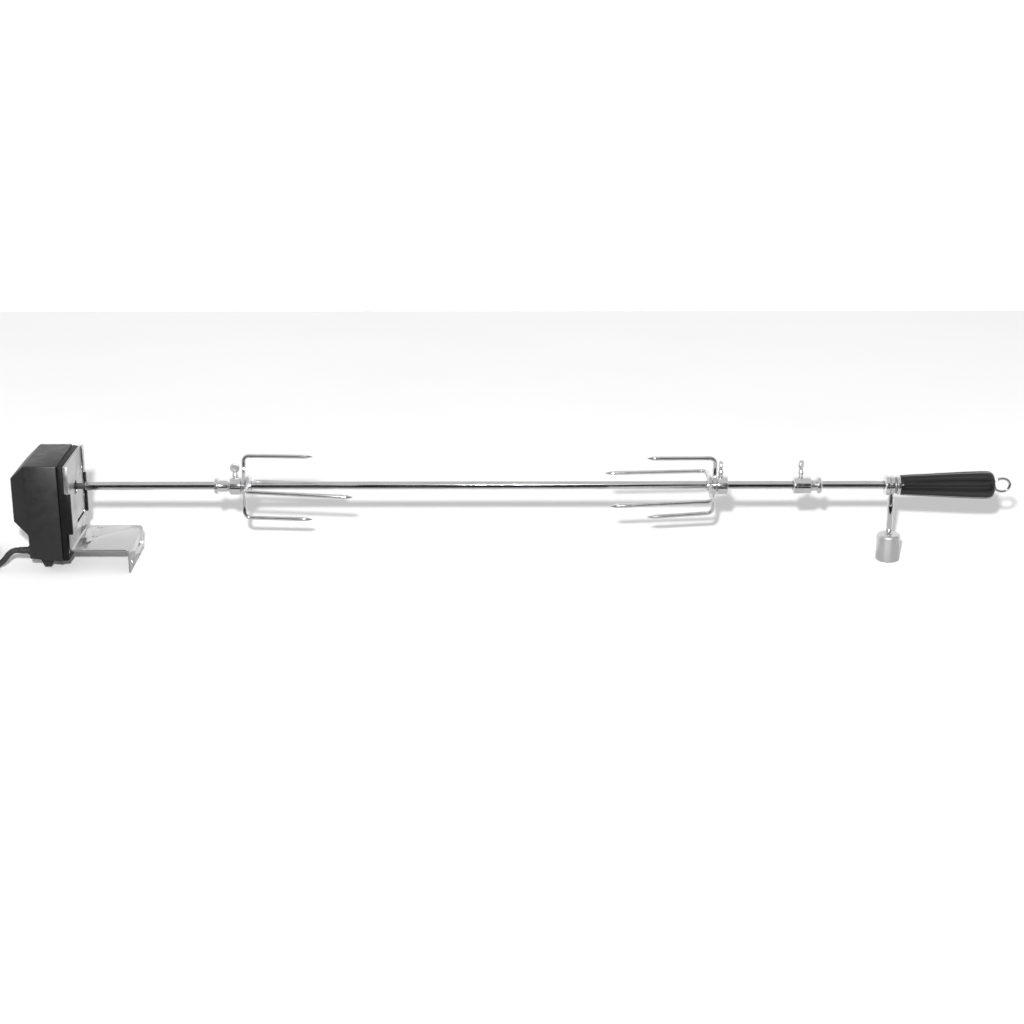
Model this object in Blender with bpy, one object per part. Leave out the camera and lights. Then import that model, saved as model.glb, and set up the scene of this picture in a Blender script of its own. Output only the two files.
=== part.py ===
"""Rotisserie spit roaster: motor unit on its bracket, hexagonal spit with two forks,
support bushing, swinging counterweight and handle.

Metres, +Z up. +X runs along the spit from the motor to the handle. The origin is on the
surface it stands on, below the middle of the whole length.
"""

import math

import bmesh
import bpy
from mathutils import Matrix, Vector

# ---------------------------------------------------------------- driving dimensions
MM = 0.001
GAP = 0.3 * MM                    # gap between pieces that touch
LENGTH = 1017 * MM                # hump of the motor to the end of the hanging loop
AXIS_Z = 81 * MM                  # height of the spit's axis above the floor
HALF_DEPTH = 40 * MM              # half of the motor's depth, front to back

ROD_FLATS = 8.0 * MM              # hexagonal spit, across its flats
TIP_SIDE = 5.0 * MM               # square driving tip of the spit
TIP_END, HEX_START, HEX_END, STUD_END = 43.5 * MM, 67.5 * MM, 892.0 * MM, 938 * MM
STUD_R = 3.9 * MM
BORE_R = 4.95 * MM                # bore of what slides on the spit

# the motor unit, as stations from the hump's face
HUMP_FACE, WALL_FACE, SPLIT, COVER_FACE = 0.0, 15 * MM, 48.5 * MM, 54.6 * MM
CASE_TOP = 114.3 * MM
CASE_BOTTOM_REAR, CASE_BOTTOM_FRONT = 16.0 * MM, 12.3 * MM
HUMP_HALF_DEPTH = 34 * MM
HUMP_TOP, HUMP_BOTTOM, HUMP_ROOT_BOTTOM = 100 * MM, 54 * MM, 41 * MM
WALL = 2.5 * MM
SCREW_Y, SCREW_Z = 33.2 * MM, (21.5 * MM, 107.2 * MM)

# gears of the final drive, both pairs alike
MODULE, PINION_TEETH, WHEEL_TEETH = 1.1 * MM, 14, 42
PRESSURE_ANGLE = math.radians(25)
BACKLASH = 0.25 * MM
CENTRES = MODULE * (PINION_TEETH + WHEEL_TEETH) / 2

# the bracket, bent from one sheet
SHEET = 1.6 * MM
PLATE_X, SHELF_TOP, LIP_X = 56.2 * MM, 25.2 * MM, 116.0 * MM
BRACKET_HALF = 38.4 * MM
PLATE_TOP = 113.0 * MM

# forks
WIRE_R = 2.2 * MM
PRONG_CIRCLE = 32 * MM
NECK_R = 6.6 * MM
BEND_R = 6 * MM
SAG = 1.1 * MM                    # how far each prong starts below its true place

# cord and plug
CORD_R = 3.0 * MM
COIL_CENTRE = (-0.5815, 0.010)
COIL_INNER, COIL_OUTER, COIL_HEIGHT = 23.9 * MM, 42.4 * MM, 12.6 * MM
CORD_ROUTE = [
    (-0.5058, -0.0330, 0.0230), (-0.5090, -0.0330, 0.0230), (-0.5130, -0.0329, 0.0216),
    (-0.5175, -0.0326, 0.0178), (-0.5222, -0.0318, 0.0118), (-0.5285, -0.0308, 0.0068),
    (-0.5370, -0.0299, 0.0038), (-0.5465, -0.0294, 0.0032), (-0.5580, -0.0292, 0.0032),
]
TAIL_ROUTE = [
    (-0.6053, -0.0292, 0.0086), (-0.6170, -0.0282, 0.0060), (-0.6320, -0.0240, 0.0036),
    (-0.6424, -0.0150, 0.0034), (-0.6466, -0.0050, 0.0052), (-0.6475, 0.0040, 0.0070),
    (-0.6475, 0.0177, 0.0070),
]
PLUG_ENTRY = (-0.6475, 0.0180, 0.0070)


def at(station):
    """World x of a station measured along the spit from the motor's hump."""
    return station - LENGTH / 2


# ---------------------------------------------------------------- scene and materials
def clear_scene():
    for obj in list(bpy.data.objects):
        bpy.data.objects.remove(obj, do_unlink=True)


def material(name, colour, roughness, metallic=0.0):
    found = bpy.data.materials.get(name)
    if found:
        return found
    made = bpy.data.materials.new(name)
    made.use_nodes = True
    shader = made.node_tree.nodes["Principled BSDF"]
    shader.inputs["Base Color"].default_value = (*colour, 1)
    shader.inputs["Roughness"].default_value = roughness
    shader.inputs["Metallic"].default_value = metallic
    return made


def chrome():
    return material("chrome", (0.78, 0.78, 0.79), 0.12, 1)


def stainless():
    return material("stainless_sheet", (0.62, 0.62, 0.63), 0.35, 1)


def black_plastic():
    return material("black_plastic", (0.02, 0.02, 0.021), 0.45)


def gear_plastic():
    return material("gear_nylon", (0.82, 0.80, 0.72), 0.4)


def brass():
    return material("brass", (0.62, 0.47, 0.22), 0.3, 1)


def rubber():
    return material("cord_rubber", (0.015, 0.015, 0.016), 0.6)


# ---------------------------------------------------------------- shape helpers
def finish(name, bm, surface, place=None):
    """Makes an object of a bmesh. place is its origin, and the mesh is given in world space."""
    bmesh.ops.remove_doubles(bm, verts=bm.verts, dist=1e-7)
    bmesh.ops.recalc_face_normals(bm, faces=bm.faces)
    if place is not None:
        bmesh.ops.translate(bm, verts=bm.verts, vec=-Vector(place))
    mesh = bpy.data.meshes.new(name)
    bm.to_mesh(mesh)
    bm.free()
    mesh.materials.append(surface)
    mesh.shade_smooth()
    mesh.set_sharp_from_angle(angle=math.radians(35))
    obj = bpy.data.objects.new(name, mesh)
    if place is not None:
        obj.location = place
    bpy.context.scene.collection.objects.link(obj)
    return obj


def box_bm(low, high):
    bm = bmesh.new()
    bmesh.ops.create_cube(bm, size=1)
    size = [b - a for a, b in zip(low, high)]
    middle = [(a + b) / 2 for a, b in zip(low, high)]
    bmesh.ops.scale(bm, verts=bm.verts, vec=size)
    bmesh.ops.translate(bm, verts=bm.verts, vec=middle)
    return bm


def turned_bm(profile, segments, centre=(0, 0), along="X", closed=False, turn=0.0):
    """Turns (distance, radius) points about an axis. A closed profile makes a ring."""
    bm = bmesh.new()
    rings = []
    for distance, radius in profile:
        ring = []
        for k in range(segments):
            angle = turn + 2 * math.pi * k / segments
            u, v = radius * math.sin(angle), radius * math.cos(angle)
            if along == "X":
                point = (distance, centre[0] + u, centre[1] + v)
            elif along == "Y":
                point = (centre[0] + u, distance, centre[1] + v)
            else:
                point = (centre[0] + u, centre[1] + v, distance)
            ring.append(bm.verts.new(point))
        rings.append(ring)
    pairs = list(zip(rings, rings[1:]))
    if closed:
        pairs.append((rings[-1], rings[0]))
    for a, b in pairs:
        for k in range(segments):
            n = (k + 1) % segments
            bm.faces.new((a[k], a[n], b[n], b[k]))
    if not closed:
        bm.faces.new(rings[0])
        bm.faces.new(rings[-1][::-1])
    return bm


def ring_profile(outer, bore):
    """A closed profile: the outer points and a straight bore from end to end."""
    return outer + [(outer[-1][0], bore), (outer[0][0], bore)]


def prism_bm(outline, low, high, along="X"):
    """Extrudes an outline. Along X it holds (y, z), along Y it holds (x, z)."""
    bm = bmesh.new()
    points = []
    for a, b in outline:
        points.append((low, a, b) if along == "X" else (a, low, b))
    face = bm.faces.new([bm.verts.new(p) for p in points])
    moved = bmesh.ops.extrude_face_region(bm, geom=[face])
    corners = [g for g in moved["geom"] if isinstance(g, bmesh.types.BMVert)]
    step = (high - low, 0, 0) if along == "X" else (0, high - low, 0)
    bmesh.ops.translate(bm, verts=corners, vec=step)
    return bm


def helper(name, bm):
    """A cutter or an addition that a Boolean uses: it isn't a piece of the object."""
    obj = finish(name, bm, black_plastic())
    obj.hide_render = True
    obj.display_type = "WIRE"
    return obj


def boolean(obj, tool, operation="DIFFERENCE"):
    modifier = obj.modifiers.new(tool.name, "BOOLEAN")
    modifier.operation = operation
    modifier.solver = "EXACT"
    modifier.object = tool


def bevel(obj, width, segments=2, angle=30):
    modifier = obj.modifiers.new("edges", "BEVEL")
    modifier.width = width
    modifier.segments = segments
    modifier.limit_method = "ANGLE"
    modifier.angle_limit = math.radians(angle)
    modifier.use_clamp_overlap = True


def wire_bm(points, radii, sides=8):
    """A round wire through the points, each ring square to the wire there, with flat ends."""
    bm = bmesh.new()
    points = [Vector(p) for p in points]
    rings = []
    normal = None
    for i, point in enumerate(points):
        ahead = points[min(i + 1, len(points) - 1)] - point
        behind = point - points[max(i - 1, 0)]
        direction = (ahead.normalized() + behind.normalized()).normalized()
        if normal is None:
            normal = direction.orthogonal().normalized()
        normal = (normal - direction * normal.dot(direction)).normalized()
        across = direction.cross(normal)
        ring = []
        for k in range(sides):
            angle = 2 * math.pi * k / sides
            offset = normal * math.cos(angle) + across * math.sin(angle)
            ring.append(bm.verts.new(point + offset * radii[i]))
        rings.append(ring)
    for a, b in zip(rings, rings[1:]):
        for k in range(sides):
            n = (k + 1) % sides
            bm.faces.new((a[k], a[n], b[n], b[k]))
    bm.faces.new(rings[0])
    bm.faces.new(rings[-1][::-1])
    return bm


def smooth_points(route, spacing):
    """Points at even spacing on a smooth curve through the route's own points."""
    knots = [Vector(p) for p in route]
    knots = [knots[0] * 2 - knots[1]] + knots + [knots[-1] * 2 - knots[-2]]
    fine = []
    for a, b, c, d in zip(knots, knots[1:], knots[2:], knots[3:]):
        for k in range(24):
            t = k / 24
            fine.append(
                b
                + (c - a) * (t / 2)
                + (a * 2 - b * 5 + c * 4 - d) * (t * t / 2)
                + (b * 3 - a - c * 3 + d) * (t * t * t / 2)
            )
    fine.append(knots[-2])
    lengths = [0.0]
    for a, b in zip(fine, fine[1:]):
        lengths.append(lengths[-1] + (b - a).length)
    count = max(2, round(lengths[-1] / spacing))
    out = []
    j = 0
    for i in range(count + 1):
        want = lengths[-1] * i / count
        while j < len(lengths) - 2 and lengths[j + 1] < want:
            j += 1
        part = (want - lengths[j]) / max(lengths[j + 1] - lengths[j], 1e-9)
        out.append(fine[j].lerp(fine[j + 1], min(1.0, part)))
    return out


# ---------------------------------------------------------------- motor unit
def lofted_bm(loops):
    """A closed solid through outlines of four (y, z) points, each at its own x."""
    bm = bmesh.new()
    rings = [[bm.verts.new((x, y, z)) for y, z in outline] for x, outline in loops]
    for a, b in zip(rings, rings[1:]):
        for k in range(4):
            n = (k + 1) % 4
            bm.faces.new((a[k], a[n], b[n], b[k]))
    bm.faces.new(rings[0][::-1])
    bm.faces.new(rings[-1])
    return bm


def hump_outline(half, low, high):
    return [(-half, low), (half, low), (half, high), (-half, high)]


def case_bm(inset, end):
    """The casing's outer form, or its hollow when inset by the wall: body and tapered hump."""
    half, top = HALF_DEPTH - inset, CASE_TOP - inset
    nose, high, low = HUMP_HALF_DEPTH - inset, HUMP_TOP - inset, HUMP_BOTTOM + inset
    rear, front, root = CASE_BOTTOM_REAR + inset, CASE_BOTTOM_FRONT + inset, HUMP_ROOT_BOTTOM + inset
    x0, x1, x2 = at(HUMP_FACE + inset), at(WALL_FACE + inset), at(end)
    bm = bmesh.new()
    a = [bm.verts.new((x0, y, z)) for y, z in hump_outline(nose, low, high)]
    b = [bm.verts.new((x1, y, z)) for y, z in (
        (-half, rear), (half, rear), (half, root), (half, top), (-half, top), (-half, root))]
    c = [bm.verts.new((x2, y, z)) for y, z in hump_outline(half, front, top)]
    for face in (
        a, (b[5], b[2], a[1], a[0]), (a[1], b[2], b[3], a[2]), (a[3], a[2], b[3], b[4]),
        (b[5], a[0], a[3], b[4]), (b[0], b[1], b[2], b[5]), (b[1], c[1], c[2], b[3], b[2]),
        (b[0], b[5], b[4], c[3], c[0]), (b[0], c[0], c[1], b[1]), (b[4], b[3], c[2], c[3]),
        (c[0], c[3], c[2], c[1]),
    ):
        bm.faces.new(face)
    return bm


def make_casing():
    """The moulded half that holds the motor and the gears, open towards the cover."""
    casing = finish("motor_casing", case_bm(0.0, SPLIT), black_plastic())
    bevel(casing, 1.4 * MM, 2, 12)
    hollow = helper("hollow_cutter", case_bm(WALL, SPLIT + 2 * MM))
    for i, (y, z) in enumerate(screw_places()):
        boss = helper(f"boss_{i + 1}", turned_bm(
            [(at(27 * MM), 5.3 * MM), (at(SPLIT + 3 * MM), 5.3 * MM)], 12, (y, z)))
        boolean(hollow, boss)
    boolean(casing, hollow)
    for i, (y, z) in enumerate(screw_places()):
        pilot = helper(f"pilot_{i + 1}", turned_bm(
            [(at(34 * MM), 1.8 * MM), (at(SPLIT + 3 * MM), 1.8 * MM)], 10, (y, z)))
        boolean(casing, pilot)
    cord_hole = helper("cord_hole", turned_bm(
        [(at(WALL_FACE - 3 * MM), 3.9 * MM), (at(WALL_FACE + 6 * MM), 3.9 * MM)], 16, CORD_ROUTE[0][1:]))
    boolean(casing, cord_hole)
    low, high = switch_pocket()
    boolean(casing, helper("switch_hole", box_bm(low, high)))
    return casing


def screw_places():
    return [(y, z) for y in (-SCREW_Y, SCREW_Y) for z in SCREW_Z]


def make_cover():
    """The shallow lid over the gears, with the two plastic rails that the bracket slides in."""
    half, low = HALF_DEPTH - 0.8 * MM, CASE_BOTTOM_FRONT + 0.8 * MM
    high = CASE_TOP - 0.8 * MM
    cover = finish("casing_cover", lofted_bm([
        (at(SPLIT + GAP), hump_outline(half, low, high)),
        (at(COVER_FACE), hump_outline(half - 0.6 * MM, low + 0.6 * MM, high - 0.6 * MM)),
    ]), black_plastic())
    bevel(cover, 0.9 * MM, 2, 30)
    tray = helper("tray_cutter", box_bm(
        (at(SPLIT - MM), -half + WALL, low + WALL), (at(51.2 * MM), half - WALL, high - WALL)))
    boolean(cover, tray)
    for side in (-1, 1):
        outer, inner = side * (HALF_DEPTH - 0.2 * MM), side * (BRACKET_HALF + GAP)
        y0, y1 = sorted((outer, inner))
        wall = helper(f"rail_wall_{side}", box_bm(
            (at(COVER_FACE - 2 * MM), y0, 42 * MM), (at(60.2 * MM), y1, 84 * MM)))
        boolean(cover, wall, "UNION")
        y0, y1 = sorted((outer, inner - side * 3 * MM))
        lip = helper(f"rail_lip_{side}", box_bm(
            (at(58.3 * MM), y0, 42 * MM), (at(60.2 * MM), y1, 84 * MM)))
        boolean(cover, lip, "UNION")
    bush_hole = helper("bush_hole", turned_bm(
        [(at(50 * MM), 9.3 * MM), (at(60 * MM), 9.3 * MM)], 20, (0, AXIS_Z)))
    boolean(cover, bush_hole)
    for i, (y, z) in enumerate(screw_places()):
        hole = helper(f"cover_hole_{i + 1}", turned_bm(
            [(at(50 * MM), 2.0 * MM), (at(52.6 * MM), 2.0 * MM), (at(52.61 * MM), 3.6 * MM),
             (at(58 * MM), 3.6 * MM)], 12, (y, z)))
        boolean(cover, hole)


def make_cover_screws():
    for i, (y, z) in enumerate(screw_places()):
        profile = [(at(36 * MM), 1.0 * MM), (at(37 * MM), 1.5 * MM), (at(52.9 * MM), 1.5 * MM),
                   (at(52.91 * MM), 3.1 * MM), (at(54.0 * MM), 2.8 * MM), (at(54.4 * MM), 2.0 * MM)]
        finish(f"cover_screw_{i + 1}", turned_bm(profile, 12, (y, z)), stainless())


def make_rail_plate():
    """Steel channel on the cover: its folded edges grip the upper part of the bracket."""
    base, lip, thick = 54.9 * MM, 59.4 * MM, 1.0 * MM
    outer, inner = HALF_DEPTH + 0.0, BRACKET_HALF + GAP
    outline = [
        (at(base), -outer), (at(lip), -outer), (at(lip), -inner + 4 * MM),
        (at(lip - thick), -inner + 4 * MM), (at(lip - thick), -inner), (at(base + thick), -inner),
        (at(base + thick), inner), (at(lip - thick), inner), (at(lip - thick), inner - 4 * MM),
        (at(lip), inner - 4 * MM), (at(lip), outer), (at(base), outer),
    ]
    bm = bmesh.new()
    face = bm.faces.new([bm.verts.new((x, y, 85 * MM)) for x, y in outline])
    moved = bmesh.ops.extrude_face_region(bm, geom=[face])
    top = [g for g in moved["geom"] if isinstance(g, bmesh.types.BMVert)]
    bmesh.ops.translate(bm, verts=top, vec=(0, 0, 28.2 * MM))
    rail = finish("mounting_rail_plate", bm, stainless())
    boolean(rail, helper("rail_hole", turned_bm(
        [(at(50 * MM), 8 * MM), (at(64 * MM), 8 * MM)], 20, (0, AXIS_Z))))


def gear_outline(teeth, centre, phase):
    """Involute teeth as (y, z) points around the centre."""
    pitch = MODULE * teeth / 2
    base = pitch * math.cos(PRESSURE_ANGLE)
    tip, root = pitch + 0.9 * MODULE, pitch - 1.2 * MODULE
    half = math.pi / (2 * teeth) - BACKLASH / (2 * pitch)

    def involute(angle):
        return math.tan(angle) - angle

    def half_angle(radius):
        roll = math.acos(min(1.0, base / max(radius, base)))
        return half + involute(PRESSURE_ANGLE) - involute(roll)

    start = max(base, root)
    radii = [root] + [start + (tip - start) * k / 3 for k in range(4)]
    if start - root < 1e-6:
        radii = radii[1:]
    points = []
    for k in range(teeth):
        middle = phase + 2 * math.pi * k / teeth
        flank = [(radius, half_angle(radius)) for radius in radii]
        for radius, away in flank:
            points.append((radius, middle - away))
        for radius, away in reversed(flank):
            points.append((radius, middle + away))
    return [(centre[0] + r * math.sin(a), centre[1] + r * math.cos(a)) for r, a in points]


def make_gear(name, teeth, centre, phase, low, high, bore, surface):
    gear = finish(name, prism_bm(gear_outline(teeth, centre, phase), at(low), at(high)), surface,
                  (at(low), *centre))
    boolean(gear, helper(f"{name}_bore", turned_bm(
        [(at(low - 4 * MM), bore), (at(high + 16 * MM), bore)], 16, centre)))
    return gear


def make_drive():
    """Motor, its pinion, the double gear on its pin, and the wheel on the driving socket."""
    axis, pin = (0, AXIS_Z), (0, AXIS_Z - CENTRES)
    half_pitch = math.pi / PINION_TEETH
    can = [(at(10 * MM), 18 * MM), (at(11.5 * MM), 21 * MM), (at(26 * MM), 21 * MM),
           (at(27.5 * MM), 19.5 * MM)]
    finish("motor_can", turned_bm(can, 28, axis), stainless())
    plate = finish("gear_plate", box_bm(
        (at(28 * MM), -27 * MM, 22 * MM), (at(29.6 * MM), 27 * MM, 108 * MM)), stainless())
    boolean(plate, helper("shaft_hole", turned_bm(
        [(at(26 * MM), 3 * MM), (at(32 * MM), 3 * MM)], 14, axis)))
    pinion = finish("motor_pinion", prism_bm(
        gear_outline(PINION_TEETH, axis, half_pitch), at(31.5 * MM), at(36.3 * MM)), brass(),
        (at(31.5 * MM), *axis))
    boolean(pinion, helper("motor_shaft", turned_bm(
        [(at(27.8 * MM), 2 * MM), (at(33 * MM), 2 * MM)], 12, axis)), "UNION")
    double = finish("double_gear", prism_bm(
        gear_outline(WHEEL_TEETH, pin, 0.0), at(31.5 * MM), at(36.3 * MM)), gear_plastic(),
        (at(31.5 * MM), *pin))
    boolean(double, helper("small_gear", prism_bm(
        gear_outline(PINION_TEETH, pin, half_pitch), at(35 * MM), at(43.6 * MM))), "UNION")
    boolean(double, helper("double_bore", turned_bm(
        [(at(28 * MM), 2.3 * MM), (at(48 * MM), 2.3 * MM)], 12, pin)))
    finish("gear_pin", turned_bm([(at(29.9 * MM), 2 * MM), (at(48.6 * MM), 2 * MM)], 12, pin), stainless())
    make_gear("output_wheel", WHEEL_TEETH, axis, 0.0, 38.2 * MM, 43.4 * MM, 6.3 * MM, gear_plastic())
    socket = finish("drive_socket", turned_bm(
        [(at(37.6 * MM), 6 * MM), (at(55.2 * MM), 6 * MM), (at(55.6 * MM), 5.5 * MM)], 20, axis),
        stainless(), (at(37.6 * MM), *axis))
    half = TIP_SIDE / 2 + 0.25 * MM
    boolean(socket, helper("square_hole", box_bm(
        (at(42.5 * MM), -half, AXIS_Z - half), (at(60 * MM), half, AXIS_Z + half))))
    bush = ring_profile([(at(47.2 * MM), 8 * MM), (at(48 * MM), 9 * MM), (at(54.4 * MM), 9 * MM)], 6.25 * MM)
    finish("output_bush", turned_bm(bush, 20, axis, closed=True), brass())


def switch_pocket():
    """The hole in the casing's floor that the switch guard clips into."""
    return ((at(23.2 * MM), -23.2 * MM, 5 * MM), (at(33.8 * MM), -4.8 * MM, 21 * MM))


def make_switch():
    """The rocker switch under the casing, in a guard that tapers down to the floor."""
    top, low = 12.9 * MM, 2.6 * MM
    guard = finish("switch_guard", prism_bm([
        (at(20.5 * MM), top + 0.5 * MM), (at(25.4 * MM), low + 0.6 * MM), (at(26.4 * MM), low),
        (at(31.8 * MM), low), (at(32.8 * MM), low + 0.6 * MM), (at(37.5 * MM), top - 1.0 * MM),
    ], -25 * MM, -3 * MM, "Y"), black_plastic())
    neck = helper("guard_neck", box_bm(
        (at(23.5 * MM), -22.9 * MM, 9 * MM), (at(33.5 * MM), -5.1 * MM, 19 * MM)))
    boolean(guard, neck, "UNION")
    pocket = helper("guard_pocket", box_bm(
        (at(26.6 * MM), -21.6 * MM, -2 * MM), (at(31.6 * MM), -6.4 * MM, 17 * MM)))
    boolean(guard, pocket)
    y, z = -14 * MM, 6.6 * MM
    rocker = finish("rocker_switch", prism_bm([
        (y - 6.6 * MM, z - 4.0 * MM), (y - 1.0 * MM, z - 2.5 * MM), (y + 6.2 * MM, z - 0.8 * MM),
        (y + 5.4 * MM, z + 3.8 * MM), (y - 5.4 * MM, z + 3.8 * MM),
    ], at(26.95 * MM), at(31.25 * MM)), black_plastic(), (at(29.1 * MM), y, z))
    bevel(rocker, 0.3 * MM, 1)


def make_strain_relief():
    y, z = CORD_ROUTE[0][1:]
    outer = [(at(3.0 * MM), 3.55 * MM), (at(6 * MM), 3.7 * MM), (at(12.4 * MM), 4.2 * MM),
             (at(12.6 * MM), 4.7 * MM), (at(14.6 * MM), 4.9 * MM), (at(14.7 * MM), 3.6 * MM),
             (at(17.8 * MM), 3.6 * MM), (at(17.9 * MM), 4.2 * MM), (at(24 * MM), 3.9 * MM)]
    finish("strain_relief", turned_bm(outer, 16, (y, z)), rubber())


# ---------------------------------------------------------------- bracket
def sheet_outline():
    """The bracket seen from the front: plate down, bend, shelf, bend, lip down to the floor."""
    inner, outer = 2.0 * MM, 2.0 * MM + SHEET

    def arc(cx, cz, radius, start, end):
        steps = 4
        angles = [math.radians(start + (end - start) * k / steps) for k in range(steps + 1)]
        return [(cx + radius * math.cos(a), cz + radius * math.sin(a)) for a in angles]

    left, right = at(PLATE_X), at(LIP_X)
    corner = (left + outer, SHELF_TOP - SHEET + outer)
    knee = (right - outer, SHELF_TOP - outer)
    face = [(left + SHEET, PLATE_TOP)] + arc(*corner, inner, 180, 270)
    face += arc(*knee, outer, 90, 0) + [(right, 0)]
    back = [(right - SHEET, 0)] + arc(*knee, inner, 0, 90)
    back += arc(*corner, outer, 270, 180) + [(left, PLATE_TOP)]
    return face + back


def slot_bm(axis, centre, length, width, turn=0.0):
    """A slot with round ends, cut right through a sheet across the given axis."""
    outline = []
    reach = (length - width) / 2
    for end, start in ((1, -90), (-1, 90)):
        for k in range(5):
            angle = math.radians(start + 180 * k / 4)
            outline.append((end * reach + width / 2 * math.cos(angle), width / 2 * math.sin(angle)))
    rotated = [(u * math.cos(turn) - v * math.sin(turn), u * math.sin(turn) + v * math.cos(turn))
               for u, v in outline]
    depth = 4 * MM
    if axis == "X":
        return prism_bm([(centre[1] + u, centre[2] + v) for u, v in rotated],
                        centre[0] - depth, centre[0] + depth)
    bm = bmesh.new()
    face = bm.faces.new([bm.verts.new((centre[0] + u, centre[1] + v, centre[2] - depth)) for u, v in rotated])
    moved = bmesh.ops.extrude_face_region(bm, geom=[face])
    top = [g for g in moved["geom"] if isinstance(g, bmesh.types.BMVert)]
    bmesh.ops.translate(bm, verts=top, vec=(0, 0, 2 * depth))
    return bm


def make_bracket():
    bracket = finish("bracket", prism_bm(sheet_outline(), -BRACKET_HALF, BRACKET_HALF, "Y"), stainless())
    quarter = math.radians(90)
    plate, lip = at(PLATE_X + SHEET / 2), at(LIP_X - SHEET / 2)
    shelf = SHELF_TOP - SHEET / 2
    cuts = [
        ("rod_hole", "X", (plate, 0, AXIS_Z - 1.2 * MM), 15 * MM, 12.5 * MM, quarter),
        ("upper_slot", "X", (plate, 32 * MM, 95 * MM), 10 * MM, 3 * MM, quarter),
        ("side_slot", "X", (plate, 34 * MM, 68 * MM), 18 * MM, 1.6 * MM, quarter),
        ("cross_slot", "X", (plate, 14 * MM, 44 * MM), 36 * MM, 3.0 * MM, 0.0),
        ("lip_slot", "X", (lip, 14 * MM, 12 * MM), 17 * MM, 2.0 * MM, 0.0),
        ("lip_hole", "X", (lip, -28 * MM, 9 * MM), 5.5 * MM, 5.2 * MM, 0.0),
        ("lip_hole_far", "X", (lip, 31 * MM, 9 * MM), 5.5 * MM, 5.2 * MM, 0.0),
    ]
    for row, y in enumerate((31 * MM, 2 * MM)):
        for column in range(2):
            x = at((71 + 3.6 * column) * MM)
            cuts.append((f"shelf_hole_{row}{column}", "Z", (x, y, shelf), 1.9 * MM, 1.8 * MM, 0.0))
    for name, axis, centre, length, width, turn in cuts:
        boolean(bracket, helper(name, slot_bm(axis, centre, length, width, turn)))


# ---------------------------------------------------------------- spit
def make_rod():
    """The hexagonal spit with its square driving tip and the threaded stud for the handle."""
    corner = ROD_FLATS / math.sqrt(3)
    rod = finish("spit_rod", turned_bm(
        [(at(HEX_START), corner * 0.8), (at(HEX_START + 1.2 * MM), corner), (at(HEX_END), corner)],
        6, (0, AXIS_Z)), chrome(), (at(HEX_START), 0, AXIS_Z))
    half = TIP_SIDE / 2
    tip = helper("square_tip", lofted_bm([
        (at(TIP_END), hump_outline(half * 0.7, AXIS_Z - half * 0.7, AXIS_Z + half * 0.7)),
        (at(TIP_END + 1.5 * MM), hump_outline(half, AXIS_Z - half, AXIS_Z + half)),
        (at(HEX_START + 3 * MM), hump_outline(half, AXIS_Z - half, AXIS_Z + half)),
    ]))
    boolean(rod, tip, "UNION")
    stud = helper("handle_stud", turned_bm(
        [(at(HEX_END - 3 * MM), STUD_R), (at(STUD_END - MM), STUD_R), (at(STUD_END), STUD_R * 0.75)],
        16, (0, AXIS_Z)))
    boolean(rod, stud, "UNION")


def thumb_hole(obj, station, half):
    boolean(obj, helper(f"{obj.name}_screw_hole", turned_bm(
        [(AXIS_Z + 1 * MM, 2.6 * MM), (AXIS_Z + half + 3 * MM, 2.6 * MM)], 12,
        (at(station), 0), along="Z")))


def make_thumb_screw(name, station, hub_r, turn, lift):
    """A spade-headed screw: threaded shank, flared stem and a flat round head."""
    base = AXIS_Z + 5.3 * MM + lift
    shoulder = AXIS_Z + hub_r + 0.7 * MM + lift
    centre = (at(station), 0)
    profile = [(base, 1.6 * MM), (base + 0.6 * MM, 2.3 * MM), (shoulder, 2.3 * MM),
               (shoulder + 0.4 * MM, 2.9 * MM), (shoulder + 2.6 * MM, 2.5 * MM),
               (shoulder + 5.5 * MM, 1.5 * MM)]
    screw = finish(name, turned_bm(profile, 12, centre, along="Z"), chrome(), (*centre, base))
    head_z = AXIS_Z + 19.2 * MM + lift
    head = turned_bm([(-1.5 * MM, 4.1 * MM), (-1.0 * MM, 4.9 * MM), (1.0 * MM, 4.9 * MM),
                      (1.5 * MM, 4.1 * MM)], 16, (0, 0), along="Y")
    bmesh.ops.rotate(head, verts=head.verts, cent=(0, 0, 0), matrix=Matrix.Rotation(turn, 3, "Z"))
    bmesh.ops.translate(head, verts=head.verts, vec=(*centre, head_z))
    boolean(screw, helper(f"{name}_head", head), "UNION")


def prong_points(bend_x, tip_x, out, drop):
    """From the hub outwards, round the bend and along the spit to the point of the prong."""
    sense = 1 if tip_x > bend_x else -1
    axis = Vector((0, 0, AXIS_Z))
    points = [axis + Vector((bend_x, 0, 0)) + out * 14 * MM]
    centre_r = PRONG_CIRCLE - BEND_R
    for k in range(5):
        angle = math.radians(90 * k / 4)
        x = bend_x + sense * BEND_R * (1 - math.cos(angle))
        points.append(axis + Vector((x, 0, 0)) + out * (centre_r + BEND_R * math.sin(angle)))
    start = points[-1]
    end = axis + Vector((tip_x, 0, -drop)) + out * PRONG_CIRCLE
    points += [start.lerp(end, 0.5), end - (end - start).normalized() * 9 * MM, end]
    sag = min(SAG, drop / 2)
    for k, point in enumerate(points[1:-1]):
        point.z -= sag * min(1.0, 0.5 + k / 8)
    return points


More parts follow.
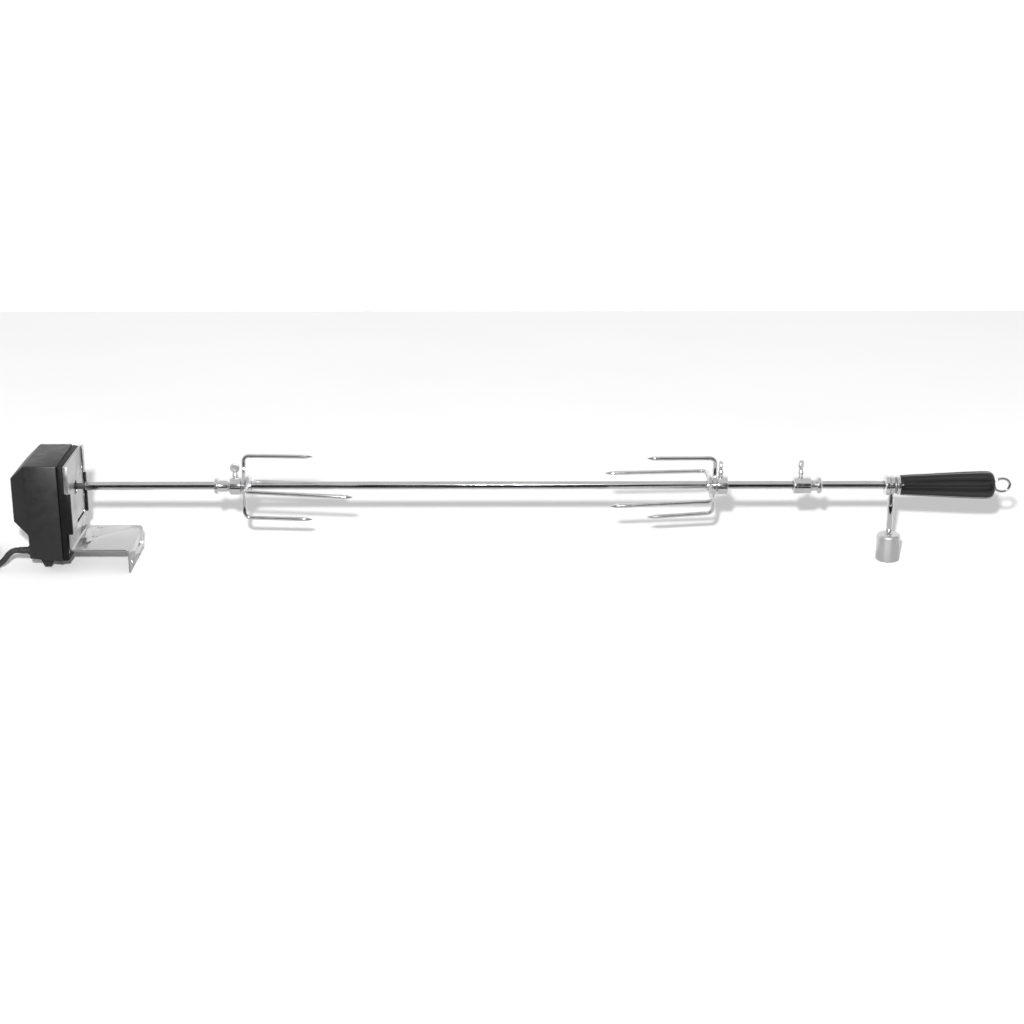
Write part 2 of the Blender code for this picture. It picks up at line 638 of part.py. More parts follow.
def make_fork_wire(name, bend_x, tips, turn, drops, side):
    """One bent wire makes two prongs: it comes in, rounds the hub and goes out again."""
    out = Vector((0, math.sin(turn), math.cos(turn)))
    across = Vector((0, math.cos(turn), -math.sin(turn))) * side
    round_r = NECK_R + GAP + WIRE_R
    first = prong_points(bend_x, tips[0], out, drops[0])
    second = prong_points(bend_x, tips[1], -out, drops[1])
    wrap = []
    for k in range(7):
        angle = math.radians(30 + 120 * k / 6)
        offset = out * math.cos(angle) + across * math.sin(angle)
        wrap.append(Vector((bend_x, 0, AXIS_Z)) + offset * round_r)
    points = first[::-1] + wrap + second
    radii = [WIRE_R] * len(points)
    radii[0] = radii[-1] = WIRE_R * 0.18
    finish(name, wire_bm(points, radii), chrome())


def make_forks():
    left = [(200.60, 8.0), (201.10, 8.6), (204.40, 8.6), (204.90, 6.55), (214.40, 6.55), (217.00, 9.75),
            (227.20, 9.75), (227.80, 9.3), (227.82, 6.6), (238.00, 6.6)]
    right = [(704.50, 6.6), (714.80, 6.6), (714.82, 9.9), (715.40, 10.3), (725.10, 10.3), (725.70, 9.7)]
    forks = (
        ("left", left, 221.8, 9.75, 0.0, (230.4, 301.2, 299.7), (235.0, 344.2, 328.2), 8.2,
         (2.0, 3.2), (6.6, 3.9), 0.0),
        ("right", right, 718.6, 10.3, 90.0, (712.2, 642.5, 644.5), (707.6, 604.5, 601.5), -11.6,
         (0.6, 5.4), (5.6, 3.4), 2.0 * MM),
    )
    for side, profile, screw_at, hub_r, head_turn, short, long, angle, short_drop, long_drop, lift in forks:
        outer = [(at(s * MM), r * MM) for s, r in profile]
        hub = finish(f"{side}_fork_hub", turned_bm(ring_profile(outer, BORE_R), 24, (0, AXIS_Z), closed=True),
                     chrome(), (at(screw_at * MM), 0, AXIS_Z))
        thumb_hole(hub, screw_at * MM, hub_r * MM)
        make_thumb_screw(f"{side}_thumb_screw", screw_at * MM, hub_r * MM, math.radians(head_turn), lift)
        turn = math.radians(angle)
        for kind, where, drops, lean, face in (
            ("short", short, short_drop, turn, -1), ("long", long, long_drop, turn - math.radians(90), 1)
        ):
            tips = [at(s * MM) for s in where[1:]]
            make_fork_wire(f"{side}_fork_{kind}_prongs", at(where[0] * MM), tips, lean,
                           [d * MM for d in drops], face)


def make_bushing():
    """The grooved bushing that turns in the far side wall of the grill."""
    outer = [(793.0, 8.2), (793.9, 9.15), (810.2, 9.15), (811.4, 8.2), (812.4, 6.4), (815.9, 6.3),
             (817.1, 8.4), (818.1, 9.15), (820.5, 9.15), (822.5, 7.4)]
    outer = [(at(s * MM), r * MM) for s, r in outer]
    bushing = finish("support_bushing", turned_bm(
        ring_profile(outer, BORE_R), 24, (0, AXIS_Z), closed=True), chrome(), (at(800.6 * MM), 0, AXIS_Z))
    thumb_hole(bushing, 800.6 * MM, 9.15 * MM)
    make_thumb_screw("bushing_thumb_screw", 800.6 * MM, 9.15 * MM, math.radians(62), 2.7 * MM)


# ---------------------------------------------------------------- counterweight and handle
def make_counterweight():
    collar = [(886.4, 8.8), (887.6, 10.5), (891.2, 10.5), (891.7, 10.0)]
    finish("end_collar", turned_bm(
        ring_profile([(at(s * MM), r * MM) for s, r in collar], BORE_R), 24, (0, AXIS_Z), closed=True),
        chrome())
    middle = 894.45 * MM
    eye = [(at(892.1 * MM), 9.2 * MM), (at(892.8 * MM), 9.9 * MM), (at(896.1 * MM), 9.9 * MM),
           (at(896.8 * MM), 9.2 * MM)]
    arm = finish("weight_arm", turned_bm(
        ring_profile(eye, STUD_R + GAP), 24, (0, AXIS_Z), closed=True), chrome(), (at(middle), 0, AXIS_Z))
    shank = helper("arm_shank", turned_bm(
        [(9 * MM, 2.0 * MM), (10 * MM, 2.6 * MM), (31 * MM, 2.6 * MM), (32 * MM, 3.2 * MM),
         (68.2 * MM, 3.2 * MM), (69.8 * MM, 2.2 * MM), (74.5 * MM, 2.2 * MM)], 16, (at(middle), 0), along="Z"))
    boolean(arm, shank, "UNION")
    outer = [(0, 10.8), (1.2, 12.1), (26.8, 12.1), (28.2, 10.8), (28.21, 2.95), (7.0, 2.95)]
    weight = turned_bm([(z * MM, r * MM) for z, r in outer], 28, (at(middle), 0), along="Z")
    finish("counterweight", weight, chrome(), (at(middle), 0, 13.5 * MM))


def make_handle():
    washer = [(897.1, 8.4), (897.3, 8.7), (898.3, 8.7), (898.5, 8.4)]
    finish("clamp_washer", turned_bm(
        ring_profile([(at(s * MM), r * MM) for s, r in washer], STUD_R + GAP), 24, (0, AXIS_Z), closed=True),
        stainless())
    ferrule = [(898.8, 9.4), (899.6, 10.2), (901.8, 10.2), (902.4, 9.8)]
    finish("handle_ferrule", turned_bm(
        ring_profile([(at(s * MM), r * MM) for s, r in ferrule], STUD_R + GAP), 24, (0, AXIS_Z), closed=True),
        chrome())
    grip = [(942, 4.2), (902.7, 4.2), (902.7, 9.9), (903.9, 10.4), (928, 11.6), (962, 13.4), (986, 14.3),
            (993.5, 14.2), (997, 12.4), (998.6, 8.6), (998.6, 2.1), (980, 2.1)]
    finish("handle_grip", turned_bm([(at(s * MM), r * MM) for s, r in grip], 24, (0, AXIS_Z)),
           material("gloss_black", (0.012, 0.012, 0.013), 0.2), (at(902.7 * MM), 0, AXIS_Z))
    points = [(at(981 * MM), 0, AXIS_Z), (at(996 * MM), 0, AXIS_Z), (at(999.7 * MM), 0, AXIS_Z)]
    middle, half_x, half_z = at(1007.3 * MM), 8.2 * MM, 6.9 * MM
    for k in range(17):
        angle = math.radians(220 + (498 - 220) * k / 16)
        points.append((middle + half_x * math.cos(angle), 0, AXIS_Z + half_z * math.sin(angle)))
    finish("hanging_loop", wire_bm(points, [1.5 * MM] * len(points)), chrome(), (at(LENGTH), 0, AXIS_Z))


# ---------------------------------------------------------------- cord and plug
def make_cord_tube(name, route):
    """A tube along the free stretch: a poly curve with a bevel and filled caps."""
    points = smooth_points(route, 2.2 * 2 * CORD_R)
    if route is CORD_ROUTE:  # leaves the strain relief squarely
        points.insert(1, Vector(points[0]) - Vector((3 * MM, 0, 0)))
    curve = bpy.data.curves.new(name, "CURVE")
    curve.dimensions = "3D"
    curve.bevel_depth = CORD_R
    curve.bevel_resolution = 2
    curve.use_fill_caps = True
    spline = curve.splines.new("POLY")
    spline.points.add(len(points) - 1)
    for target, point in zip(spline.points, points):
        target.co = (*point, 1)
    curve.materials.append(rubber())
    obj = bpy.data.objects.new(name, curve)
    bpy.context.scene.collection.objects.link(obj)


def make_cord():
    make_cord_tube("power_cord", CORD_ROUTE)
    make_cord_tube("cord_tail", TAIL_ROUTE)
    ring = [(0.1 * MM, COIL_INNER + 2 * MM), (0.1 * MM, COIL_OUTER - 2 * MM), (2 * MM, COIL_OUTER),
            (COIL_HEIGHT - 2 * MM, COIL_OUTER), (COIL_HEIGHT, COIL_OUTER - 2 * MM),
            (COIL_HEIGHT, COIL_INNER + 2 * MM), (COIL_HEIGHT - 2 * MM, COIL_INNER), (2 * MM, COIL_INNER)]
    finish("cord_coil", turned_bm(ring, 32, COIL_CENTRE, along="Z", closed=True), rubber())


def make_plug():
    """A flat two-pin mains plug lying on the floor, its pins pointing away from the cord."""
    x, y, z = PLUG_ENTRY
    low, high = 0.3 * MM, 13.7 * MM
    outline = [(x - 5 * MM, y), (x + 5 * MM, y), (x + 6.5 * MM, y + 12 * MM), (x + 17 * MM, y + 26 * MM),
               (x + 17 * MM, y + 33 * MM), (x - 17 * MM, y + 33 * MM), (x - 17 * MM, y + 26 * MM),
               (x - 6.5 * MM, y + 12 * MM)]
    bm = bmesh.new()
    face = bm.faces.new([bm.verts.new((px, py, low)) for px, py in outline])
    moved = bmesh.ops.extrude_face_region(bm, geom=[face])
    top = [g for g in moved["geom"] if isinstance(g, bmesh.types.BMVert)]
    bmesh.ops.translate(bm, verts=top, vec=(0, 0, high - low))
    body = finish("plug_body", bm, rubber())
    bevel(body, 1.6 * MM, 2, 25)
    for i, side in enumerate((-1, 1)):
        pin = [(y + 33.3 * MM, 2 * MM), (y + 51 * MM, 2 * MM), (y + 52 * MM, 1.3 * MM)]
        finish(f"plug_pin_{i + 1}", turned_bm(pin, 12, (x + side * 9.3 * MM, z), along="Y"), brass())


def main():
    clear_scene()
    make_casing()
    make_cover()
    make_cover_screws()
    make_rail_plate()
    make_drive()
    make_switch()
    make_strain_relief()
    make_bracket()
    make_rod()
    make_forks()
    make_bushing()
    make_counterweight()
    make_handle()
    make_cord()
    make_plug()


main()
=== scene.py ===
"""Looks of the rotisserie spit roaster, laid out as a Blender add-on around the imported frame."""

import math

import bpy
from mathutils import Euler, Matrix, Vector


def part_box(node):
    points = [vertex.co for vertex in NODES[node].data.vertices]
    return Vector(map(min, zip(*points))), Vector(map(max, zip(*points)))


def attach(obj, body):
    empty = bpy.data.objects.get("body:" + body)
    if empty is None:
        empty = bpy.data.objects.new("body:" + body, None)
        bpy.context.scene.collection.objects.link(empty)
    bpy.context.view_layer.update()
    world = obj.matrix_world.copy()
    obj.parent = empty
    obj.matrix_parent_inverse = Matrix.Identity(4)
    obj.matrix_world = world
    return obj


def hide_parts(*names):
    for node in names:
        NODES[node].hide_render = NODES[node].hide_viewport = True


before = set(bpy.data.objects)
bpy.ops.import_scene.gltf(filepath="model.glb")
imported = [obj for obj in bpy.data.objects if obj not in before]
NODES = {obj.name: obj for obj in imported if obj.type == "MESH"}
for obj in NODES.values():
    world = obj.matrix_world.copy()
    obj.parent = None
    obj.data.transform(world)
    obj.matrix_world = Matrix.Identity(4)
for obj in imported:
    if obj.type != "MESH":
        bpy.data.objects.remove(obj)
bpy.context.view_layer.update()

bl_info = {
    "name": "Rotisserie Spit Roaster",
    "version": (1, 0, 0),
    "blender": (4, 5, 0),
    "location": "View3D > Sidebar > Roaster",
    "description": "Builds the roaster's finished pieces and its materials around the frame",
    "category": "Object",
}

MM = 0.001
AXIS_Z = 81 * MM                       # height of the spit's axis
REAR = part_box("motor_casing")[0].x     # the hump's face, where the stations start


def at(station):
    """World x of a station in millimetres along the spit, from the hump's face."""
    return REAR + station * MM


# ---------------------------------------------------------------- settings
class RoasterSizes(bpy.types.PropertyGroup):
    casing_edge: bpy.props.FloatProperty(
        name="Casing edge", description="Rounding of the casing's small edges",
        default=0.55 * MM, min=0.0, max=0.002, unit="LENGTH")
    sheet_edge: bpy.props.FloatProperty(
        name="Sheet edge", description="Rounding of the bracket's cut edges",
        default=0.22 * MM, min=0.0, max=0.0007, unit="LENGTH")
    rod_flats: bpy.props.FloatProperty(
        name="Rod across flats", description="Width of the hexagonal rod between opposite faces",
        default=8.0 * MM, min=0.004, max=0.012, unit="LENGTH")
    wire_radius: bpy.props.FloatProperty(
        name="Prong wire radius", description="Radius of the wire that the fork prongs are bent from",
        default=2.2 * MM, min=0.001, max=0.003, unit="LENGTH")
    cord_diameter: bpy.props.FloatProperty(
        name="Cord diameter", description="Thickness of the mains cord",
        default=6.0 * MM, min=0.003, max=0.009, unit="LENGTH")
    flute_depth: bpy.props.FloatProperty(
        name="Flute depth",
        description="How deep the handle's lengthwise flutes are, as a share of its radius",
        default=0.055, min=0.0, max=0.2, subtype="FACTOR")
    flutes: bpy.props.IntProperty(
        name="Flutes", description="Number of lengthwise flutes round the handle", default=12, min=6, max=24)


class RoasterColours(bpy.types.PropertyGroup):
    casing: bpy.props.FloatVectorProperty(
        name="Casing", description="Black of the moulded casing", subtype="COLOR", size=3,
        default=(0.0088, 0.0088, 0.0092), min=0, max=1)
    grip: bpy.props.FloatVectorProperty(
        name="Grip", description="Gloss black of the handle", subtype="COLOR", size=3,
        default=(0.008, 0.008, 0.0085), min=0, max=1)
    plating: bpy.props.FloatVectorProperty(
        name="Plating", description="Bright nickel-chrome plating", subtype="COLOR", size=3,
        default=(0.80, 0.80, 0.81), min=0, max=1)
    sheet: bpy.props.FloatVectorProperty(
        name="Sheet steel", description="Stainless sheet of the bracket", subtype="COLOR", size=3,
        default=(0.50, 0.50, 0.505), min=0, max=1)
    cord: bpy.props.FloatVectorProperty(
        name="Cord", description="Rubber of the mains cord", subtype="COLOR", size=3,
        default=(0.014, 0.014, 0.015), min=0, max=1)


# ---------------------------------------------------------------- materials
class Nodes:
    """A short way to write a node tree."""

    def __init__(self, name):
        self.material = bpy.data.materials.new(name)
        self.material.use_nodes = True
        self.tree = self.material.node_tree
        self.shader = self.tree.nodes["Principled BSDF"]
        self.place = self.add("ShaderNodeTexCoord").outputs["Object"]

    def add(self, kind, **values):
        node = self.tree.nodes.new(kind)
        for key, value in values.items():
            setattr(node, key, value)
        return node

    def join(self, out, into):
        self.tree.links.new(out, into)

    def noise(self, scale, stretch=(1, 1, 1), detail=4.0, rough=0.55):
        mapping = self.add("ShaderNodeMapping")
        mapping.inputs["Scale"].default_value = stretch
        self.join(self.place, mapping.inputs["Vector"])
        texture = self.add("ShaderNodeTexNoise")
        texture.inputs["Scale"].default_value = scale
        texture.inputs["Detail"].default_value = detail
        texture.inputs["Roughness"].default_value = rough
        self.join(mapping.outputs[0], texture.inputs["Vector"])
        return texture.outputs["Fac"]

    def span(self, factor, low, high, start=0.3, end=0.7):
        turn = self.add("ShaderNodeMapRange")
        for key, value in (("From Min", start), ("From Max", end), ("To Min", low), ("To Max", high)):
            turn.inputs[key].default_value = value
        self.join(factor, turn.inputs["Value"])
        return turn.outputs[0]

    def tint(self, factor, dark, light, start=0.3, end=0.7):
        ramp = self.add("ShaderNodeValToRGB")
        ramp.color_ramp.elements[0].position = start
        ramp.color_ramp.elements[1].position = end
        ramp.color_ramp.elements[0].color = (*dark, 1)
        ramp.color_ramp.elements[1].color = (*light, 1)
        self.join(factor, ramp.inputs[0])
        self.join(ramp.outputs[0], self.shader.inputs["Base Color"])

    def bump(self, height, strength, distance):
        node = self.add("ShaderNodeBump")
        node.inputs["Strength"].default_value = strength
        node.inputs["Distance"].default_value = distance
        self.join(height, node.inputs["Height"])
        self.join(node.outputs[0], self.shader.inputs["Normal"])

    def set(self, **values):
        for key, value in values.items():
            self.shader.inputs[key.replace("_", " ")].default_value = value


def shade(colour, factor):
    return tuple(min(1.0, c * factor) for c in colour)


MADE = {}


def finish_of(name):
    """One material of each finish, made when it is first asked for."""
    if name not in MADE:
        MADE[name] = FINISHES[name](bpy.context.scene.roaster_colours)
    return MADE[name]


def moulded_black(colours):
    """Matt moulded plastic with a fine spark-eroded grain and faint handling marks."""
    n = Nodes("moulded_black_plastic")
    blotch = n.noise(38, detail=3)
    n.tint(blotch, shade(colours.casing, 0.85), shade(colours.casing, 1.2))
    n.join(n.span(n.noise(120, detail=5), 0.36, 0.50), n.shader.inputs["Roughness"])
    n.bump(n.noise(2600, detail=2), 0.22, 0.00008)
    n.set(Specular_IOR_Level=0.42)
    return n.material


def rim_black_and_painted_shade(colours):
    """Duller, darker black of the cover, the rails and the rocker: partly their own black, partly painted
    shade of the shadowed gap along the cover.
    """
    n = Nodes("dull_black_plastic_and_painted_shade")
    # painted shade: a darker copy of the casing's black, partly the parts' own black
    n.tint(n.noise(60), shade(colours.casing, 0.35), shade(colours.casing, 0.6))
    n.join(n.span(n.noise(160, detail=5), 0.42, 0.55), n.shader.inputs["Roughness"])
    n.bump(n.noise(1800, detail=2), 0.12, 0.00005)
    n.set(Specular_IOR_Level=0.16)
    return n.material


def gloss_grip(colours):
    """Polished heat-proof plastic of the handle, with long faint lighter streaks: painted highlights along
    the handle, which also vary the roughness.
    """
    n = Nodes("gloss_black_grip")
    highlight_streak = n.noise(160, stretch=(0.06, 1, 1), detail=4)
    # painted highlight: the lighter streaks in the colour stand in for highlights along the handle
    n.tint(highlight_streak, shade(colours.grip, 0.8), shade(colours.grip, 1.5))
    n.join(n.span(highlight_streak, 0.10, 0.24), n.shader.inputs["Roughness"])
    n.bump(n.noise(700, detail=3), 0.05, 0.00005)
    n.set(Specular_IOR_Level=0.34, Coat_Weight=0.12, Coat_Roughness=0.05)
    return n.material


def plated(colours):
    """Nickel-chrome plating: bright, a little uneven, with a slight haze."""
    n = Nodes("bright_plating")
    cloud = n.noise(55, detail=4)
    n.tint(cloud, shade(colours.plating, 0.90), shade(colours.plating, 1.06))
    n.join(n.span(n.noise(240, detail=6), 0.07, 0.17), n.shader.inputs["Roughness"])
    n.bump(n.noise(420, detail=3), 0.06, 0.00006)
    n.set(Metallic=1.0)
    return n.material


def plated_wire(colours):
    """Plating on bent wire and the arm, with faint drawing marks."""
    n = Nodes("plated_wire")
    n.tint(n.noise(70, detail=3), shade(colours.plating, 0.84), shade(colours.plating, 0.98))
    n.join(n.span(n.noise(500, detail=4), 0.06, 0.12), n.shader.inputs["Roughness"])
    n.bump(n.noise(600, detail=3), 0.05, 0.00004)
    n.set(Metallic=1.0)
    return n.material


def drawn_rod(colours):
    """Drawn and plated bar: fine scratches run along it."""
    n = Nodes("drawn_plated_bar")
    line = n.noise(900, stretch=(0.02, 1, 1), detail=4)
    n.tint(n.noise(30), shade(colours.plating, 0.86), shade(colours.plating, 1.0))
    n.join(n.span(line, 0.08, 0.20), n.shader.inputs["Roughness"])
    n.bump(line, 0.08, 0.00004)
    n.set(Metallic=1.0)
    return n.material


def dark_steel_and_painted_shade(colours):
    """Dark steel of the square driving tip; on the drive socket the same dark is painted shade inside the
    hole.
    """
    n = Nodes("dark_steel_with_painted_shade")
    # dark colour; on the drive socket it is painted shade inside the hole
    n.tint(n.noise(300), (0.035, 0.034, 0.034), (0.09, 0.088, 0.085))
    n.join(n.span(n.noise(500), 0.30, 0.50), n.shader.inputs["Roughness"])
    n.bump(n.noise(900), 0.15, 0.00006)
    n.set(Metallic=0.85)
    return n.material


def rolled_sheet(colours):
    """Stainless sheet, bright enough to mirror softly, with the mill's grain across the bracket."""
    n = Nodes("rolled_stainless_sheet")
    grain = n.noise(700, stretch=(1, 0.03, 1), detail=5)
    n.tint(n.noise(26, detail=4), shade(colours.sheet, 0.95), shade(colours.sheet, 1.04))
    height = n.add("ShaderNodeSeparateXYZ")
    n.join(n.place, height.inputs[0])
    handled = n.span(height.outputs["Z"], 0.0, 0.20, 0.030, 0.050)  # the upright plate is scuffed duller
    rough = n.add("ShaderNodeMath", operation="ADD")
    n.join(n.span(grain, 0.13, 0.19), rough.inputs[0])
    n.join(handled, rough.inputs[1])
    n.join(rough.outputs[0], n.shader.inputs["Roughness"])
    n.bump(grain, 0.05, 0.00003)
    n.set(Metallic=1.0)
    return n.material


def folded_channel(colours):
    """Zinc-plated steel of the channel."""
    n = Nodes("zinc_plated_channel")
    n.tint(n.noise(60, detail=4), shade(colours.sheet, 0.95), shade(colours.sheet, 1.15))
    n.join(n.span(n.noise(260, detail=4), 0.30, 0.40), n.shader.inputs["Roughness"])
    n.bump(n.noise(400), 0.04, 0.00003)
    n.set(Metallic=1.0)
    return n.material


def satin_plate(colours):
    """Satin plating of the cast thumb screws and the brushed weight."""
    n = Nodes("satin_plating")
    line = n.noise(420, stretch=(1, 1, 0.05), detail=4)
    n.tint(n.noise(50, detail=3), shade(colours.plating, 0.72), shade(colours.plating, 0.86))
    n.join(n.span(line, 0.36, 0.48), n.shader.inputs["Roughness"])
    n.bump(line, 0.07, 0.00004)
    n.set(Metallic=1.0)
    return n.material


def turned_steel(colours):
    """Plain turned steel of shafts, screws and the motor's can."""
    n = Nodes("turned_steel")
    n.tint(n.noise(140), (0.42, 0.42, 0.43), (0.56, 0.56, 0.57))
    n.join(n.span(n.noise(600, stretch=(1, 0.2, 0.2)), 0.24, 0.40), n.shader.inputs["Roughness"])
    n.bump(n.noise(900, stretch=(1, 0.1, 0.1)), 0.08, 0.00005)
    n.set(Metallic=1.0)
    return n.material


def gear_plastic(colours):
    """Natural nylon of the gears."""
    n = Nodes("natural_nylon")
    n.tint(n.noise(120), (0.70, 0.67, 0.58), (0.80, 0.77, 0.69))
    n.join(n.span(n.noise(260), 0.34, 0.46), n.shader.inputs["Roughness"])
    n.bump(n.noise(900), 0.08, 0.00005)
    n.set(Subsurface_Weight=0.1)
    return n.material


def plain_brass(colours):
    """Brass of the bush, the motor's pinion and the plug's pins."""
    n = Nodes("plain_brass")
    n.tint(n.noise(160), (0.56, 0.40, 0.17), (0.70, 0.53, 0.26))
    n.join(n.span(n.noise(420), 0.16, 0.32), n.shader.inputs["Roughness"])
    n.bump(n.noise(900), 0.06, 0.00004)
    n.set(Metallic=1.0)
    return n.material


def bronze_darkened_as_painted_shade(colours):
    """Sintered bronze of the output bush, coloured dark: painted shade inside its hole."""
    n = Nodes("bronze_darkened_as_painted_shade")
    # painted shade: the bush is coloured dark as the shade in its hole
    n.tint(n.noise(200), (0.09, 0.065, 0.035), (0.15, 0.11, 0.06))
    n.join(n.span(n.noise(700), 0.38, 0.52), n.shader.inputs["Roughness"])
    n.bump(n.noise(1500), 0.12, 0.00005)
    n.set(Metallic=0.9)
    return n.material


def cord_rubber(colours):
    """Soft rubber sheath, dusty in places."""
    n = Nodes("cord_rubber")
    n.tint(n.noise(70, detail=5), shade(colours.cord, 0.8), shade(colours.cord, 1.5))
    n.join(n.span(n.noise(220, detail=4), 0.42, 0.60), n.shader.inputs["Roughness"])
    n.bump(n.noise(1500, detail=2), 0.15, 0.00006)
    n.set(Specular_IOR_Level=0.45)
    return n.material


FINISHES = {
    "moulded_black": moulded_black, "rim_black_and_painted_shade": rim_black_and_painted_shade, "gloss_grip": gloss_grip,
    "plated": plated, "plated_wire": plated_wire,
    "drawn_rod": drawn_rod, "dark_steel_and_painted_shade": dark_steel_and_painted_shade, "rolled_sheet": rolled_sheet,
    "folded_channel": folded_channel, "satin_plate": satin_plate,
    "turned_steel": turned_steel, "gear_plastic": gear_plastic,
    "plain_brass": plain_brass, "bronze_darkened_as_painted_shade": bronze_darkened_as_painted_shade, "cord_rubber": cord_rubber,
}


def dress(node, finish):
    """Gives a CAD node that stays in view its material."""
    slots = NODES[node].material_slots
    for slot in slots:
        slot.material = finish_of(finish)


# ---------------------------------------------------------------- modelling by operator
def only(*objects):
    """Deselects everything, then selects these and makes the first active."""
    if bpy.context.mode != "OBJECT":
        bpy.ops.object.mode_set(mode="OBJECT")
    bpy.ops.object.select_all(action="DESELECT")
    for obj in objects:
        obj.select_set(True)
    bpy.context.view_layer.objects.active = objects[0] if objects else None


def edit(kind="VERT"):
    bpy.ops.object.mode_set(mode="EDIT")
    bpy.ops.mesh.select_mode(type=kind)


def pick(obj, test, kind="VERT"):
    """Selects the vertices, or the faces by their middle, that pass a test, and leaves edit mode on."""
    edit(kind)
    bpy.ops.mesh.select_all(action="DESELECT")
    bpy.ops.object.mode_set(mode="OBJECT")
    items = obj.data.vertices if kind == "VERT" else obj.data.polygons
    for item in items:
        item.select = bool(test(item))
    bpy.ops.object.mode_set(mode="EDIT")


def tidy(obj, distance=1e-6):
    """Merges doubles and turns every face outwards."""
    only(obj)
    edit()
    bpy.ops.mesh.select_all(action="SELECT")
    bpy.ops.mesh.remove_doubles(threshold=distance)
    bpy.ops.mesh.normals_make_consistent(inside=False)
    bpy.ops.object.mode_set(mode="OBJECT")


def soften(obj, width, segments=2, angle=35):
    """Rounds the sharp edges by a bevel that is applied."""
    only(obj)
    modifier = obj.modifiers.new("soft_edges", "BEVEL")
    modifier.width = width
    modifier.segments = segments
    modifier.limit_method = "ANGLE"
    modifier.angle_limit = math.radians(angle)
    modifier.harden_normals = False
    bpy.ops.object.modifier_apply(modifier=modifier.name)


def settle(obj, name, body, finish, replaces=(), angle=38):
    """Names a finished piece, puts its place in its mesh and hangs it on its body."""
    only(obj)
    bpy.ops.object.transform_apply(location=True, rotation=True, scale=True)
    bpy.ops.object.shade_smooth_by_angle(angle=math.radians(angle))
    obj.name = name
    obj.data.name = name
    obj.data.materials.clear()
    obj.data.materials.append(finish_of(finish))
    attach(obj, body)
    if replaces:
        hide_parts(*replaces)
    return obj


def merge(*objects):
    """Joins several pieces of one part into the first."""
    only(*objects)
    bpy.ops.object.join()
    return objects[0]


def traced(profile, along, centre, steps, closed=False):
    """Extrudes one point along a (distance, radius) profile, then spins it about its axis."""
    axis = {"X": Vector((1, 0, 0)), "Y": Vector((0, 1, 0)), "Z": Vector((0, 0, 1))}[along]
    out = Vector((0, 0, 1)) if along != "Z" else Vector((0, 1, 0))
    middle = Vector(centre)
    only()
    bpy.ops.mesh.primitive_plane_add(size=0.002, location=(0, 0, 0))
    obj = bpy.context.object
    edit()
    bpy.ops.mesh.select_all(action="SELECT")
    bpy.ops.mesh.merge(type="CENTER")
    bpy.ops.object.mode_set(mode="OBJECT")
    points = [middle + axis * d + out * r for d, r in profile]
    if closed:
        points.append(points[0])
    obj.data.vertices[0].co = points[0]
    edit()
    bpy.ops.mesh.select_all(action="SELECT")
    for a, b in zip(points, points[1:]):
        bpy.ops.mesh.extrude_vertices_move(TRANSFORM_OT_translate={"value": tuple(b - a)})
    bpy.ops.mesh.select_all(action="SELECT")
    bpy.ops.mesh.spin(steps=steps, angle=2 * math.pi, center=middle, axis=axis)
    bpy.ops.object.mode_set(mode="OBJECT")
    tidy(obj, 2e-6)
    return obj


def rounded(profile, radius, steps=3):
    """Rounds the inner corners of a profile, each by at most the radius."""
    out = [profile[0]]
    for before, corner, after in zip(profile, profile[1:], profile[2:]):
        a, b, c = Vector(before), Vector(corner), Vector(after)
        reach = min(radius, (a - b).length * 0.45, (c - b).length * 0.45)
        start, end = b + (a - b).normalized() * reach, b + (c - b).normalized() * reach
        for k in range(steps + 1):
            t = k / steps
            p = start * (1 - t) ** 2 + b * 2 * t * (1 - t) + end * t * t
            out.append((p.x, p.y))
    out.append(profile[-1])
    return out


def turned_on_spit(name, outer, bore, body, node, finish="plated", steps=64, edge=0.5):
    """A turned piece with a bore, given as stations and radii in millimetres."""
    shape = rounded([(outer[0][0], bore)] + outer + [(outer[-1][0], bore)], edge)
    shape = [(at(s), r * MM) for s, r in shape]
    obj = traced(shape, "X", (0, 0, AXIS_Z), steps, closed=True)
    return settle(obj, name, body, finish, [node])


def copied(node, width, segments=2, angle=35):
    """A copy of a CAD node's mesh, merged, its flat faces made whole and its edges rounded."""
    only(NODES[node])
    bpy.ops.object.duplicate()
    obj = bpy.context.object
    for key in list(obj.keys()):
        if key.startswith("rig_"):
            del obj[key]
    obj.parent = None
    only(obj)
    bpy.ops.mesh.customdata_custom_splitnormals_clear()
    tidy(obj, 1e-5)
    edit()
    bpy.ops.mesh.select_all(action="SELECT")
    bpy.ops.mesh.dissolve_limited(angle_limit=math.radians(1.0))
    bpy.ops.object.mode_set(mode="OBJECT")
    if width:
        soften(obj, width, segments, angle)
    return obj


def wire_curve(points, radii, thickness, resolution=5):
    """A round wire along a line of points, made a mesh."""
    only()
    bpy.ops.curve.primitive_nurbs_path_add(radius=0.1, location=(0, 0, 0))
    obj = bpy.context.object
    curve = obj.data
    curve.splines.clear()
    spline = curve.splines.new("POLY")
    spline.points.add(len(points) - 1)
    for place, point, radius in zip(spline.points, points, radii):
        place.co = (*point, 1)
        place.radius = radius
    curve.dimensions = "3D"
    curve.twist_mode = "MINIMUM"
    curve.bevel_depth = thickness
    curve.bevel_resolution = resolution
    curve.use_fill_caps = True
    only(obj)
    bpy.ops.object.convert(target="MESH")
    tidy(bpy.context.object, 1e-7)
    return bpy.context.object


